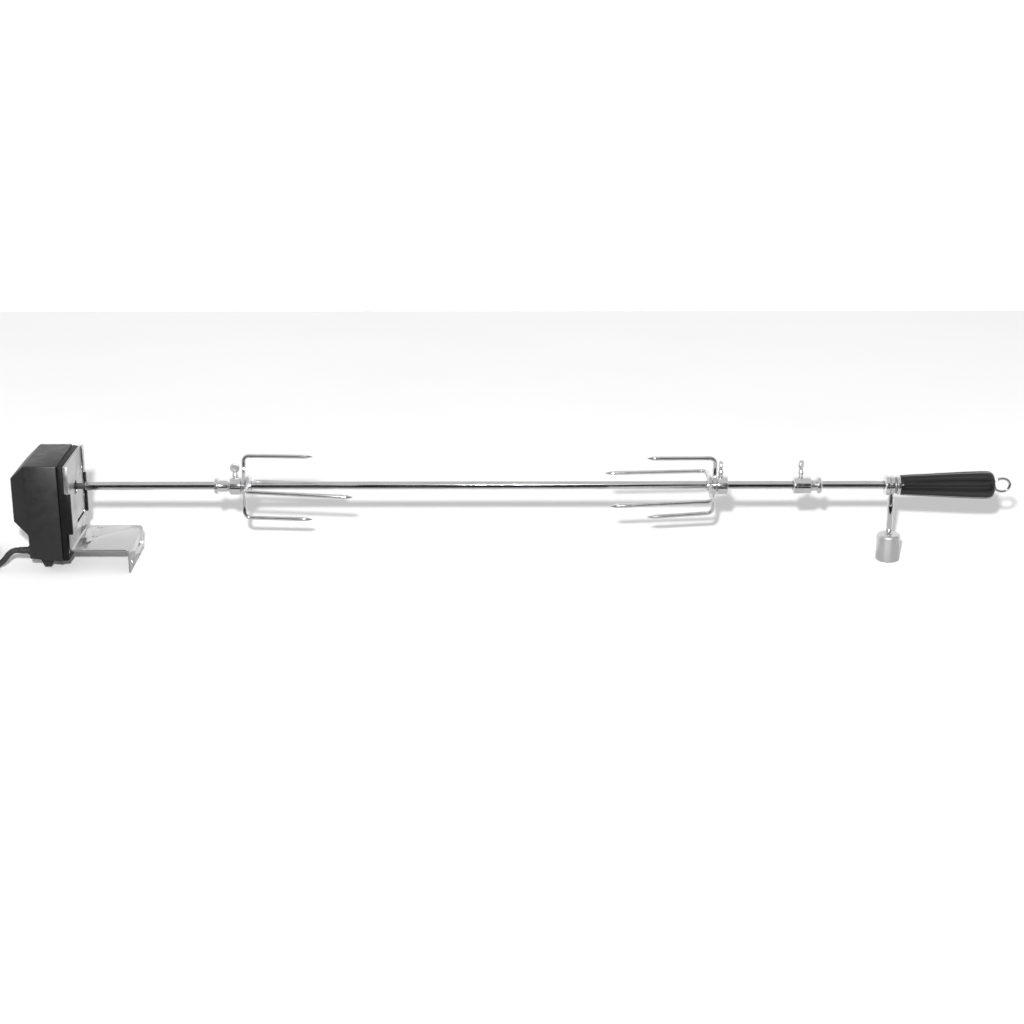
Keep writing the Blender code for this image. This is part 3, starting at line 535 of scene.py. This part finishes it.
def smooth_line(route, spacing):
    """Points at even spacing on a smooth curve through the route's own points."""
    knots = [Vector(p) for p in route]
    knots = [knots[0] * 2 - knots[1]] + knots + [knots[-1] * 2 - knots[-2]]
    fine = []
    for a, b, c, d in zip(knots, knots[1:], knots[2:], knots[3:]):
        for k in range(24):
            t = k / 24
            fine.append(b + (c - a) * (t / 2) + (a * 2 - b * 5 + c * 4 - d) * (t * t / 2)
                        + (b * 3 - a - c * 3 + d) * (t * t * t / 2))
    fine.append(knots[-2])
    lengths = [0.0]
    for a, b in zip(fine, fine[1:]):
        lengths.append(lengths[-1] + (b - a).length)
    count = max(2, round(lengths[-1] / spacing))
    out, j = [], 0
    for i in range(count + 1):
        want = lengths[-1] * i / count
        while j < len(lengths) - 2 and lengths[j + 1] < want:
            j += 1
        part = (want - lengths[j]) / max(lengths[j + 1] - lengths[j], 1e-9)
        out.append(fine[j].lerp(fine[j + 1], min(1.0, part)))
    return out


# ---------------------------------------------------------------- stage
class ROASTER_OT_stage(bpy.types.Operator):
    """Adds the camera, the pale floor and the studio light"""

    bl_idname = "roaster.stage"
    bl_label = "Stage"

    def execute(self, context):
        scene = context.scene
        elevation, distance, target = math.radians(18.8), 1.9982, Vector((-0.0035, 0, 0.0523))
        back = Vector((0, -math.cos(elevation), math.sin(elevation)))
        only()
        tilt = Euler((math.pi / 2 - elevation, 0, 0)).to_matrix() @ Euler((0, 0, -0.0012)).to_matrix()
        bpy.ops.object.camera_add(location=target + back * distance, rotation=tilt.to_euler())
        camera = context.object
        camera.name = "roaster_camera"
        camera.data.sensor_width = 36
        camera.data.lens = 68.2
        camera.data.clip_end = 50
        scene.camera = camera

        only()
        bpy.ops.mesh.primitive_plane_add(size=14, location=(0, 0, -0.0004))
        floor = context.object
        floor.name = "pale_floor"
        n = Nodes("pale_floor")
        n.tint(n.noise(3.0), (0.86, 0.86, 0.86), (0.88, 0.88, 0.88))
        n.set(Roughness=0.9, Specular_IOR_Level=0.1)
        floor.data.materials.append(n.material)

        only()
        # glowing cards seen only in reflections: painted reflections of a dark floor in front, a grey floor
        # under the roaster and a dark wall in front; the bright back is the backdrop, seen by the camera too
        for name, place, turn, size, value, seen in (
            ("dark_floor_painted_reflection", (0, -0.86, 0.0008), 0, (3.2, 1.34), 0.012, False),
            ("grey_floor_painted_reflection", (0, -0.085, 0.0006), 0, (3.2, 0.21), 0.62, False),
            ("dark_front_painted_reflection", (0, -3.4, 1.2), 90, (9, 3.4), 0.05, False),
            ("bright_back", (0, 1.15, 1.1), 90, (9, 2.2), 1.08, True),
        ):
            only()
            bpy.ops.mesh.primitive_plane_add(size=1, location=place, rotation=(math.radians(turn), 0, 0))
            card = context.object
            card.name = name
            card.scale = (*size, 1)
            look = Nodes(name)
            look.set(Base_Color=(0, 0, 0, 1), Roughness=1.0, Specular_IOR_Level=0.0,
                     Emission_Color=(1, 1, 1, 1), Emission_Strength=value)
            if seen:  # from behind, the card lets the view through
                side = look.add("ShaderNodeNewGeometry").outputs["Backfacing"]
                solid, clear = look.add("ShaderNodeMixShader"), look.add("ShaderNodeBsdfTransparent")
                look.join(side, solid.inputs[0])
                look.join(look.shader.outputs[0], solid.inputs[1])
                look.join(clear.outputs[0], solid.inputs[2])
                look.join(solid.outputs[0], look.tree.nodes["Material Output"].inputs["Surface"])
            card.data.materials.append(look.material)
            card.visible_camera = seen
            card.visible_diffuse = False
            card.visible_shadow = False
            card.visible_transmission = False

        only()
        bpy.ops.object.light_add(type="POINT", location=(-0.082, -1.90, 0.925))
        lamp = context.object
        lamp.name = "flash_by_the_camera"
        lamp.data.shadow_soft_size = 0.035
        lamp.data.energy = 1.0
        lamp.data.use_nodes = True
        tree = lamp.data.node_tree
        falloff = tree.nodes.new("ShaderNodeLightFalloff")
        falloff.inputs["Strength"].default_value = 58.0
        tree.links.new(falloff.outputs["Constant"], tree.nodes["Emission"].inputs["Strength"])

        world = bpy.data.worlds.new("studio")
        scene.world = world
        world.use_nodes = True
        back = world.node_tree.nodes["Background"]
        back.inputs["Color"].default_value = (1, 1, 1, 1)
        back.inputs["Strength"].default_value = 0.62
        scene.view_settings.view_transform = "Standard"
        return {"FINISHED"}


# ---------------------------------------------------------------- cord and plug
CORD_START = (-0.5058, -0.0330, 0.0230)
CORD_ROUTE = [
    CORD_START, (-0.5090, -0.0330, 0.0230), (-0.5130, -0.0329, 0.0216), (-0.5175, -0.0326, 0.0178),
    (-0.5222, -0.0318, 0.0118), (-0.5285, -0.0308, 0.0068), (-0.5370, -0.0299, 0.0038),
    (-0.5465, -0.0294, 0.0032), (-0.5580, -0.0293, 0.0032), (-0.5700, -0.0293, 0.0032),
]
TAIL_ROUTE = [
    (-0.5950, -0.0293, 0.0092), (-0.6053, -0.0292, 0.0086), (-0.6170, -0.0282, 0.0060),
    (-0.6320, -0.0240, 0.0036), (-0.6424, -0.0150, 0.0034), (-0.6466, -0.0050, 0.0052),
    (-0.6475, 0.0040, 0.0070), (-0.6475, 0.0177, 0.0070),
]
COIL_CENTRE = Vector((-0.5815, 0.0100, 0))
COIL_RADII = (39.3 * MM, 33.1 * MM, 26.9 * MM)
COIL_LAYERS = (3.2 * MM, 9.4 * MM)


def ease(t, start, end, low, high):
    """Goes smoothly from low to high while t goes from start to end."""
    x = min(1.0, max(0.0, (t - start) / (end - start)))
    return low + (high - low) * x * x * (3 - 2 * x)


def coil_points():
    """Five turns: three inwards on the floor, a step up, then out again on top of them."""
    outer, middle, inner = COIL_RADII
    points = []
    for k in range(5 * 36 + 1):
        t = k / 36
        radius = (ease(t, 0.72, 1.0, outer, middle) + ease(t, 1.72, 2.0, 0, inner - middle)
                  + ease(t, 3.27, 3.55, 0, middle - inner) + ease(t, 4.27, 4.55, 0, outer - middle))
        height = ease(t, 2.52, 2.80, *COIL_LAYERS)
        angle = math.radians(-90 - 360 * t)
        points.append(COIL_CENTRE + Vector((radius * math.cos(angle), radius * math.sin(angle), height)))
    return points


class ROASTER_OT_cord(bpy.types.Operator):
    """Lays the mains cord: out of its relief, down to the surface, and into its coil"""

    bl_idname = "roaster.cord"
    bl_label = "Mains cord"

    def execute(self, context):
        diameter = context.scene.roaster_sizes.cord_diameter
        points = smooth_line(CORD_ROUTE, 3.5 * MM) + coil_points() + smooth_line(TAIL_ROUTE, 3.5 * MM)
        curve = bpy.data.curves.new("mains_cord", "CURVE")
        curve.dimensions = "3D"
        curve.twist_mode = "MINIMUM"
        curve.bevel_depth = diameter / 2
        curve.bevel_resolution = 4
        curve.use_fill_caps = True
        spline = curve.splines.new("POLY")
        spline.points.add(len(points) - 1)
        for place, point in zip(spline.points, points):
            place.co = (*point, 1)
        spline.use_smooth = True
        cord = bpy.data.objects.new("mains_cord", curve)
        context.scene.collection.objects.link(cord)
        curve.materials.append(finish_of("cord_rubber"))
        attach(cord, "motor_unit")
        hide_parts("power_cord", "cord_coil", "cord_tail")

        body = copied("plug_body", 0.5 * MM, 2, 20)
        settle(body, "plug_moulding", "motor_unit", "cord_rubber", ["plug_body"], 45)
        for k in (1, 2):
            low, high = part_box(f"plug_pin_{k}")
            middle = (low + high) / 2
            reach = high.y - low.y
            shape = [(0, 0), (0, 2.0 * MM), (reach - 1.2 * MM, 2.0 * MM),
                     (reach - 0.3 * MM, 1.4 * MM), (reach, 0)]
            pin = traced(shape, "Y", (middle.x, low.y, middle.z), 32)
            settle(pin, f"plug_contact_{k}", "motor_unit", "plain_brass",
                               [f"plug_pin_{k}"])
        return {"FINISHED"}


class ROASTER_OT_relief(bpy.types.Operator):
    """Turns the ribbed strain relief where the cord leaves the casing"""

    bl_idname = "roaster.relief"
    bl_label = "Strain relief"

    def execute(self, context):
        outer = [(3.0, 0.0), (3.0, 3.25), (4.4, 3.4)]
        for k in range(4):
            s = 5.0 + 1.9 * k
            outer += [(s, 3.45 + 0.05 * k), (s + 0.2, 3.2 + 0.05 * k),
                      (s + 0.7, 3.2 + 0.05 * k), (s + 0.9, 3.5 + 0.05 * k)]
        outer += [(12.5, 3.75), (12.6, 4.6), (14.5, 4.7), (14.6, 3.6), (17.8, 3.6), (17.9, 4.0),
                  (23.8, 3.8), (23.8, 0.0)]
        shape = [(at(s), r * MM) for s, r in rounded(outer, 0.25)]
        obj = traced(shape, "X", (0, CORD_START[1], CORD_START[2] + 0.0001), 32)
        settle(obj, "ribbed_strain_relief", "motor_unit", "cord_rubber", ["strain_relief"])
        return {"FINISHED"}


# ---------------------------------------------------------------- motor unit
class ROASTER_OT_casing(bpy.types.Operator):
    """Makes the casing, its cover and the four cover screws"""

    bl_idname = "roaster.casing"
    bl_label = "Casing"

    def execute(self, context):
        edge = context.scene.roaster_sizes.casing_edge
        casing = copied("motor_casing", edge, 2, 25)
        settle(casing, "moulded_casing", "motor_unit", "moulded_black", ["motor_casing"], 30)
        cover = copied("casing_cover", edge * 0.6, 2, 35)
        settle(cover, "moulded_cover", "motor_unit", "rim_black_and_painted_shade", ["casing_cover"], 30)
        for k in range(1, 5):
            node = f"cover_screw_{k}"
            low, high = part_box(node)
            middle = (low + high) / 2
            shape = [(low.x, 0), (low.x + MM, 1.4 * MM), (high.x - 2.7 * MM, 1.5 * MM),
                     (high.x - 2.6 * MM, 3.05 * MM), (high.x - 1.2 * MM, 3.0 * MM),
                     (high.x - 0.35 * MM, 2.2 * MM), (high.x, 1.2 * MM), (high.x, 0)]
            screw = traced(shape, "X", (0, middle.y, middle.z), 32)
            only(screw)
            pick(screw, lambda v: v.co.x > high.x - 0.5 * MM and abs(v.co.y - middle.y) < 0.5 * MM)
            bpy.ops.transform.translate(value=(-0.7 * MM, 0, 0))
            settle(screw, f"slotted_{node}", "motor_unit", "turned_steel", [node])
        return {"FINISHED"}


class ROASTER_OT_switch(bpy.types.Operator):
    """Makes the switch guard and the rocker under the casing"""

    bl_idname = "roaster.switch"
    bl_label = "Switch"

    def execute(self, context):
        guard = copied("switch_guard", 0.5 * MM, 3, 25)
        settle(guard, "tapered_switch_guard", "motor_unit", "moulded_black",
               ["switch_guard"])
        rocker = copied("rocker_switch", 0.25 * MM, 3, 15)
        settle(rocker, "rocker_cap", "rocker", "rim_black_and_painted_shade", ["rocker_switch"])
        return {"FINISHED"}


class ROASTER_OT_bracket(bpy.types.Operator):
    """Makes the bent sheet bracket and the channel that holds it"""

    bl_idname = "roaster.bracket"
    bl_label = "Bracket"

    def execute(self, context):
        edge = context.scene.roaster_sizes.sheet_edge
        sheet = copied("bracket", edge, 2, 40)
        settle(sheet, "bent_sheet_bracket", "motor_unit", "rolled_sheet", ["bracket"], 40)
        channel = copied("mounting_rail_plate", edge, 2, 40)
        settle(channel, "folded_channel", "motor_unit", "folded_channel",
               ["mounting_rail_plate"], 40)
        return {"FINISHED"}


class ROASTER_OT_works(bpy.types.Operator):
    """Gives the motor, gears and shafts inside the casing their finishes"""

    bl_idname = "roaster.works"
    bl_label = "Works"

    def execute(self, context):
        for finish, nodes in {
            "turned_steel": ("motor_can", "gear_plate", "gear_pin"),
            # painted shade: the drive socket and the output bush are coloured dark as the shade inside the
            # hole
            "dark_steel_and_painted_shade": ("drive_socket",),
            "bronze_darkened_as_painted_shade": ("output_bush",),
            "plain_brass": ("motor_pinion",),
            "gear_plastic": ("double_gear", "output_wheel"),
        }.items():
            for node in nodes:
                dress(node, finish)
        return {"FINISHED"}


# ---------------------------------------------------------------- spit
class ROASTER_OT_rod(bpy.types.Operator):
    """Makes the hexagonal rod, its stud and its dark driving tip"""

    bl_idname = "roaster.rod"
    bl_label = "Spit rod"

    def execute(self, context):
        corner = context.scene.roaster_sizes.rod_flats / math.sqrt(3)
        start, end = at(67.6), at(892.0)
        only()
        bpy.ops.mesh.primitive_cylinder_add(
            vertices=6, radius=corner, depth=end - start, location=((start + end) / 2, 0, AXIS_Z),
            rotation=(0, math.pi / 2, 0))
        bar = context.object
        bpy.ops.transform.rotate(value=math.pi / 6, orient_axis="X", center_override=(0, 0, AXIS_Z))
        bpy.ops.object.transform_apply(location=True, rotation=True, scale=True)
        pick(bar, lambda f: abs(f.normal.x) > 0.9, "FACE")
        bpy.ops.mesh.inset(thickness=0.5 * MM)
        bpy.ops.mesh.select_all(action="DESELECT")
        bpy.ops.object.mode_set(mode="OBJECT")
        soften(bar, 0.28 * MM, 3, 25)
        stud = traced([(at(889), 0), (at(889), 3.8 * MM), (at(937), 3.8 * MM), (at(938), 2.9 * MM),
                       (at(938), 0)], "X", (0, 0, AXIS_Z), 32)
        bar = merge(bar, stud)
        settle(bar, "hexagonal_rod", "spit", "drawn_rod", ["spit_rod"], 20)
        only()
        low, high = at(43.5), at(69.5)
        bpy.ops.mesh.primitive_cube_add(size=1, location=((low + high) / 2, 0, AXIS_Z))
        tip = context.object
        tip.scale = (high - low, 5.0 * MM, 5.0 * MM)
        bpy.ops.object.transform_apply(location=True, rotation=True, scale=True)
        pick(tip, lambda f: f.normal.x < -0.9, "FACE")
        bpy.ops.mesh.extrude_region_move(TRANSFORM_OT_translate={"value": (0, 0, 0)})
        bpy.ops.transform.resize(value=(1, 0.7, 0.7))
        bpy.ops.object.mode_set(mode="OBJECT")
        pick(tip, lambda v: v.co.x < low + 1e-5 and abs(v.co.y) > 2.4 * MM)
        bpy.ops.transform.translate(value=(1.5 * MM, 0, 0))
        bpy.ops.object.mode_set(mode="OBJECT")
        soften(tip, 0.3 * MM, 2, 30)
        settle(tip, "square_driving_tip", "spit", "dark_steel_and_painted_shade")
        return {"FINISHED"}


FORKS = {
    "left": {
        "hub": [(200.6, 8.0), (201.1, 8.6), (204.4, 8.6), (205.0, 6.55), (214.2, 6.55), (215.8, 8.1),
                (217.0, 9.75), (227.2, 9.75), (227.8, 9.3), (227.82, 6.6), (238.0, 6.6)],
        "screw": (221.8, 9.75, 0.0, 0.0), "angle": 8.2,
        "short": (230.4, (301.2, 299.7), (2.0, 3.2)), "long": (235.0, (344.2, 328.2), (6.6, 3.9)),
    },
    "right": {
        "hub": [(704.5, 6.6), (714.8, 6.6), (714.82, 9.9), (715.4, 10.3), (725.1, 10.3), (725.7, 9.7)],
        "screw": (718.6, 10.3, 90.0, 2.0), "angle": -11.6,
        "short": (712.2, (642.5, 644.5), (0.6, 5.4)), "long": (707.6, (604.5, 601.5), (5.6, 3.4)),
    },
}
PRONG_CIRCLE, NECK, BEND, SAG = 32 * MM, 6.6 * MM, 6 * MM, 1.1 * MM


def prong_line(bend_x, tip_x, out, drop):
    """From the hub outwards, round the bend and along the spit, with the radius share at each point."""
    sense = 1 if tip_x > bend_x else -1
    axis = Vector((0, 0, AXIS_Z))
    leg = [axis + Vector((bend_x, 0, 0)) + out * (14 * MM)]
    centre_r = PRONG_CIRCLE - BEND
    for k in range(13):
        angle = math.radians(90 * k / 12)
        leg.append(axis + Vector((bend_x + sense * BEND * (1 - math.cos(angle)), 0, 0))
                   + out * (centre_r + BEND * math.sin(angle)))
    start, end = leg[-1], axis + Vector((tip_x, 0, -drop)) + out * PRONG_CIRCLE
    sag = min(SAG, drop / 2)
    for k, point in enumerate(leg[1:]):
        point.z -= sag * min(1.0, 0.5 + k / 24)
    start = leg[-1]
    along = (end - start).normalized()
    line = leg + [start.lerp(end, t) for t in (0.25, 0.5, 0.75)]
    shares = [1.0] * len(line)
    for back, share in ((9, 1.0), (7.5, 0.97), (5.5, 0.84), (3.5, 0.62), (1.6, 0.34), (0.5, 0.15),
                        (0.0, 0.05)):
        line.append(end - along * (back * MM))
        shares.append(share)
    return line, shares


class ROASTER_OT_forks(bpy.types.Operator):
    """Makes both forks: turned hubs and the four bent wires that end in prongs"""

    bl_idname = "roaster.forks"
    bl_label = "Forks"

    def execute(self, context):
        thickness = context.scene.roaster_sizes.wire_radius
        for side, fork in FORKS.items():
            body = f"{side}_fork"
            turned_on_spit(f"{side}_turned_hub", fork["hub"], 4.95, body, f"{side}_fork_hub", edge=0.6)
            turn = math.radians(fork["angle"])
            for kind, lean, face in (("short", turn, -1), ("long", turn - math.pi / 2, 1)):
                station, tips, drops = fork[kind]
                out = Vector((0, math.sin(lean), math.cos(lean)))
                across = Vector((0, math.cos(lean), -math.sin(lean))) * face
                bend_x = at(station)
                first, first_shares = prong_line(bend_x, at(tips[0]), out, drops[0] * MM)
                second, second_shares = prong_line(bend_x, at(tips[1]), -out, drops[1] * MM)
                wrap = []
                for k in range(19):
                    angle = math.radians(30 + 120 * k / 18)
                    offset = out * math.cos(angle) + across * math.sin(angle)
                    wrap.append(Vector((bend_x, 0, AXIS_Z)) + offset * (NECK + 0.3 * MM + thickness))
                points = first[::-1] + wrap + second
                shares = first_shares[::-1] + [1.0] * len(wrap) + second_shares
                wire = wire_curve(points, shares, thickness)
                settle(wire, f"{side}_bent_{kind}_prongs", body, "plated_wire",
                       [f"{side}_fork_{kind}_prongs"], 60)
        return {"FINISHED"}


def spade_screw(name, station, hub_r, turn, lift, body, node):
    """A thumb screw: threaded shank, flared stem and a pinched round head."""
    base = AXIS_Z + (5.3 + lift) * MM
    shoulder = AXIS_Z + (hub_r + 0.7 + lift) * MM
    middle = (at(station), 0, 0)
    shape = [(base, 0), (base, 1.7 * MM), (base + 0.5 * MM, 2.25 * MM)]
    z = base + 0.8 * MM
    while z < shoulder - 0.8 * MM:
        shape += [(z, 2.3 * MM), (z + 0.35 * MM, 2.0 * MM)]
        z += 0.7 * MM
    shape += [(shoulder, 2.2 * MM), (shoulder + 0.3 * MM, 2.95 * MM), (shoulder + 1.0 * MM, 3.0 * MM),
              (shoulder + 1.6 * MM, 2.5 * MM), (shoulder + 3.2 * MM, 2.0 * MM),
              (shoulder + 5.2 * MM, 1.7 * MM), (shoulder + 6.4 * MM, 1.9 * MM), (shoulder + 6.5 * MM, 0)]
    stem = traced(shape, "Z", middle, 32)
    only()
    head_z = AXIS_Z + (19.2 + lift) * MM
    bpy.ops.mesh.primitive_cylinder_add(
        vertices=40, radius=4.85 * MM, depth=3.0 * MM, location=(at(station), 0, head_z),
        rotation=(math.pi / 2, 0, math.radians(turn)))
    head = bpy.context.object
    bpy.ops.object.transform_apply(location=True, rotation=True, scale=True)
    flat = Vector((math.sin(math.radians(turn)), -math.cos(math.radians(turn)), 0))
    pick(head, lambda f: abs(f.normal.dot(flat)) > 0.9, "FACE")
    bpy.ops.mesh.inset(thickness=1.5 * MM, use_individual=True)
    bpy.ops.mesh.inset(thickness=1.2 * MM, depth=-0.18 * MM, use_individual=True)
    bpy.ops.object.mode_set(mode="OBJECT")
    soften(head, 0.8 * MM, 4, 50)
    screw = merge(stem, head)
    settle(screw, name, body, "satin_plate", [node], 40)


class ROASTER_OT_thumb_screws(bpy.types.Operator):
    """Makes the three thumb screws"""

    bl_idname = "roaster.thumb_screws"
    bl_label = "Thumb screws"

    def execute(self, context):
        for side, fork in FORKS.items():
            station, hub_r, turn, lift = fork["screw"]
            spade_screw(f"{side}_spade_screw", station, hub_r, turn, lift,
                        f"{side}_screw", f"{side}_thumb_screw")
        spade_screw("bushing_spade_screw", 800.6, 9.15, 62.0, 2.7,
                    "bushing_screw", "bushing_thumb_screw")
        return {"FINISHED"}


class ROASTER_OT_bushing(bpy.types.Operator):
    """Makes the grooved support bushing and the collars at the handle's end"""

    bl_idname = "roaster.bushing"
    bl_label = "Bushing and collars"

    def execute(self, context):
        bushing = [(793.0, 8.2), (793.9, 9.15), (799.0, 9.15), (810.2, 9.15), (811.4, 8.2), (812.4, 6.4),
                   (815.9, 6.3), (817.1, 8.4), (818.1, 9.15), (820.5, 9.15), (822.5, 7.4)]
        turned_on_spit("grooved_bushing", bushing, 4.95, "bushing", "support_bushing", edge=0.7)
        collar = [(886.4, 8.8), (887.6, 10.5), (891.2, 10.5), (891.7, 10.0)]
        turned_on_spit("stop_collar", collar, 4.75, "spit", "end_collar", edge=0.5)
        washer = [(897.1, 8.4), (897.3, 8.7), (898.3, 8.7), (898.5, 8.4)]
        turned_on_spit("thin_washer", washer, 4.2, "handle", "clamp_washer",
                       "turned_steel", edge=0.15)
        ferrule = [(898.8, 9.4), (899.6, 10.2), (901.8, 10.2), (902.4, 9.8)]
        turned_on_spit("grip_ferrule", ferrule, 4.2, "handle", "handle_ferrule", edge=0.4)
        return {"FINISHED"}


class ROASTER_OT_counterweight(bpy.types.Operator):
    """Makes the arm with its eye, and the weight on its lower end"""

    bl_idname = "roaster.counterweight"
    bl_label = "Counterweight"

    def execute(self, context):
        middle = at(894.45)
        eye = rounded([(892.1, 4.2), (892.1, 9.2), (892.8, 9.9), (896.1, 9.9), (896.8, 9.2),
                       (896.8, 4.2)], 0.4)
        ring = traced([(at(s), r * MM) for s, r in eye], "X", (0, 0, AXIS_Z), 64, closed=True)
        shape = [(9 * MM, 0), (9 * MM, 2.0 * MM)]
        z = 10.0
        while z < 29.0:
            shape += [(z * MM, 2.6 * MM), ((z + 0.5) * MM, 2.25 * MM)]
            z += 1.0
        shape += [(30.6 * MM, 2.6 * MM), (32 * MM, 3.2 * MM), (68.2 * MM, 3.2 * MM), (69.8 * MM, 2.3 * MM),
                  (74.5 * MM, 2.2 * MM), (74.5 * MM, 0)]
        shank = traced(shape, "Z", (middle, 0, 0), 40)
        arm = merge(ring, shank)
        settle(arm, "eyed_arm", "arm", "plated_wire", ["weight_arm"], 35)
        outer = rounded([(7.0, 0), (7.0, 2.95), (27.4, 2.95), (28.2, 3.8), (28.2, 10.6), (26.6, 12.1),
                         (1.4, 12.1), (0.0, 10.7), (0.0, 0)], 0.5)
        weight = traced([(z * MM, r * MM) for z, r in outer], "Z", (middle, 0, 0), 72)
        settle(weight, "turned_counterweight", "weight", "satin_plate", ["counterweight"], 35)
        return {"FINISHED"}


class ROASTER_OT_grip(bpy.types.Operator):
    """Makes the fluted handle grip"""

    bl_idname = "roaster.grip"
    bl_label = "Handle grip"

    def execute(self, context):
        sizes = context.scene.roaster_sizes
        outer = [(942, 0.0), (942, 4.2), (902.7, 4.2), (902.7, 9.9), (903.9, 10.4), (907, 10.6),
                 (911, 10.8), (928, 11.6),
                 (945, 12.5), (962, 13.4), (976, 14.0), (986, 14.3), (991, 14.35), (994.6, 13.9), (997, 12.4),
                 (998.3, 10.2), (998.6, 8.0), (998.6, 2.1), (980, 2.1), (980, 0.0)]
        grip = traced([(at(s), r * MM) for s, r in outer], "X", (0, 0, AXIS_Z), sizes.flutes * 8)
        share = sizes.flute_depth
        centre = (0, 0, AXIS_Z)
        for step, depth in ((0, 1.0), (1, 0.84), (2, 0.5), (3, 0.14)):
            def in_flute(v, step=step):
                y, z = v.co.y, v.co.z - AXIS_Z
                if not at(906) < v.co.x < at(993) or math.hypot(y, z) < 8 * MM:
                    return False
                column = round(math.degrees(math.atan2(y, z)) / (360 / (sizes.flutes * 8))) % 8
                return min(column, 8 - column) == step
            pick(grip, in_flute)
            factor = 1 - share * depth
            bpy.ops.transform.resize(value=(1, factor, factor), center_override=centre)
            bpy.ops.object.mode_set(mode="OBJECT")
        settle(grip, "fluted_grip", "handle", "gloss_grip", ["handle_grip"], 40)
        return {"FINISHED"}


class ROASTER_OT_loop(bpy.types.Operator):
    """Bends the wire loop that the handle hangs by"""

    bl_idname = "roaster.loop"
    bl_label = "Hanging loop"

    def execute(self, context):
        centre_x, half_x, half_z = at(1007.3), 8.2 * MM, 6.9 * MM
        points = [Vector((at(s), 0, AXIS_Z)) for s in (981, 992, 998)]
        points += [Vector((at(999.6), 0, AXIS_Z - 0.5 * MM)), Vector((at(1000.4), 0, AXIS_Z - 2.3 * MM))]
        for k in range(41):
            angle = math.radians(216 + (498 - 216) * k / 40)
            points.append(Vector((centre_x + half_x * math.cos(angle), 0, AXIS_Z + half_z * math.sin(angle))))
        loop = wire_curve(points, [1.0] * len(points), 1.5 * MM)
        settle(loop, "wire_loop", "handle", "plated_wire", ["hanging_loop"], 60)
        return {"FINISHED"}


STEPS = (
    ROASTER_OT_stage, ROASTER_OT_cord, ROASTER_OT_relief, ROASTER_OT_casing, ROASTER_OT_switch,
    ROASTER_OT_bracket, ROASTER_OT_works, ROASTER_OT_rod, ROASTER_OT_forks, ROASTER_OT_thumb_screws,
    ROASTER_OT_bushing, ROASTER_OT_counterweight, ROASTER_OT_grip, ROASTER_OT_loop,
)


class ROASTER_PT_panel(bpy.types.Panel):
    """Lists the roaster's settings and pieces"""

    bl_label = "Roaster"
    bl_idname = "ROASTER_PT_panel"
    bl_space_type = "VIEW_3D"
    bl_region_type = "UI"
    bl_category = "Roaster"

    def draw(self, context):
        layout = self.layout
        for group in (context.scene.roaster_sizes, context.scene.roaster_colours):
            box = layout.box()
            for key in group.__annotations__:
                box.prop(group, key)
        for step in STEPS:
            layout.operator(step.bl_idname)


CLASSES = (RoasterSizes, RoasterColours, *STEPS, ROASTER_PT_panel)


def register():
    for cls in CLASSES:
        bpy.utils.register_class(cls)
    bpy.types.Scene.roaster_sizes = bpy.props.PointerProperty(type=RoasterSizes)
    bpy.types.Scene.roaster_colours = bpy.props.PointerProperty(type=RoasterColours)


def unregister():
    del bpy.types.Scene.roaster_colours
    del bpy.types.Scene.roaster_sizes
    for cls in reversed(CLASSES):
        bpy.utils.unregister_class(cls)


def main():
    """Builds every piece in order."""
    register()
    for step in STEPS:
        group, name = step.bl_idname.split(".")
        getattr(getattr(bpy.ops, group), name)()
    only()


if __name__ == "__main__":
    main()
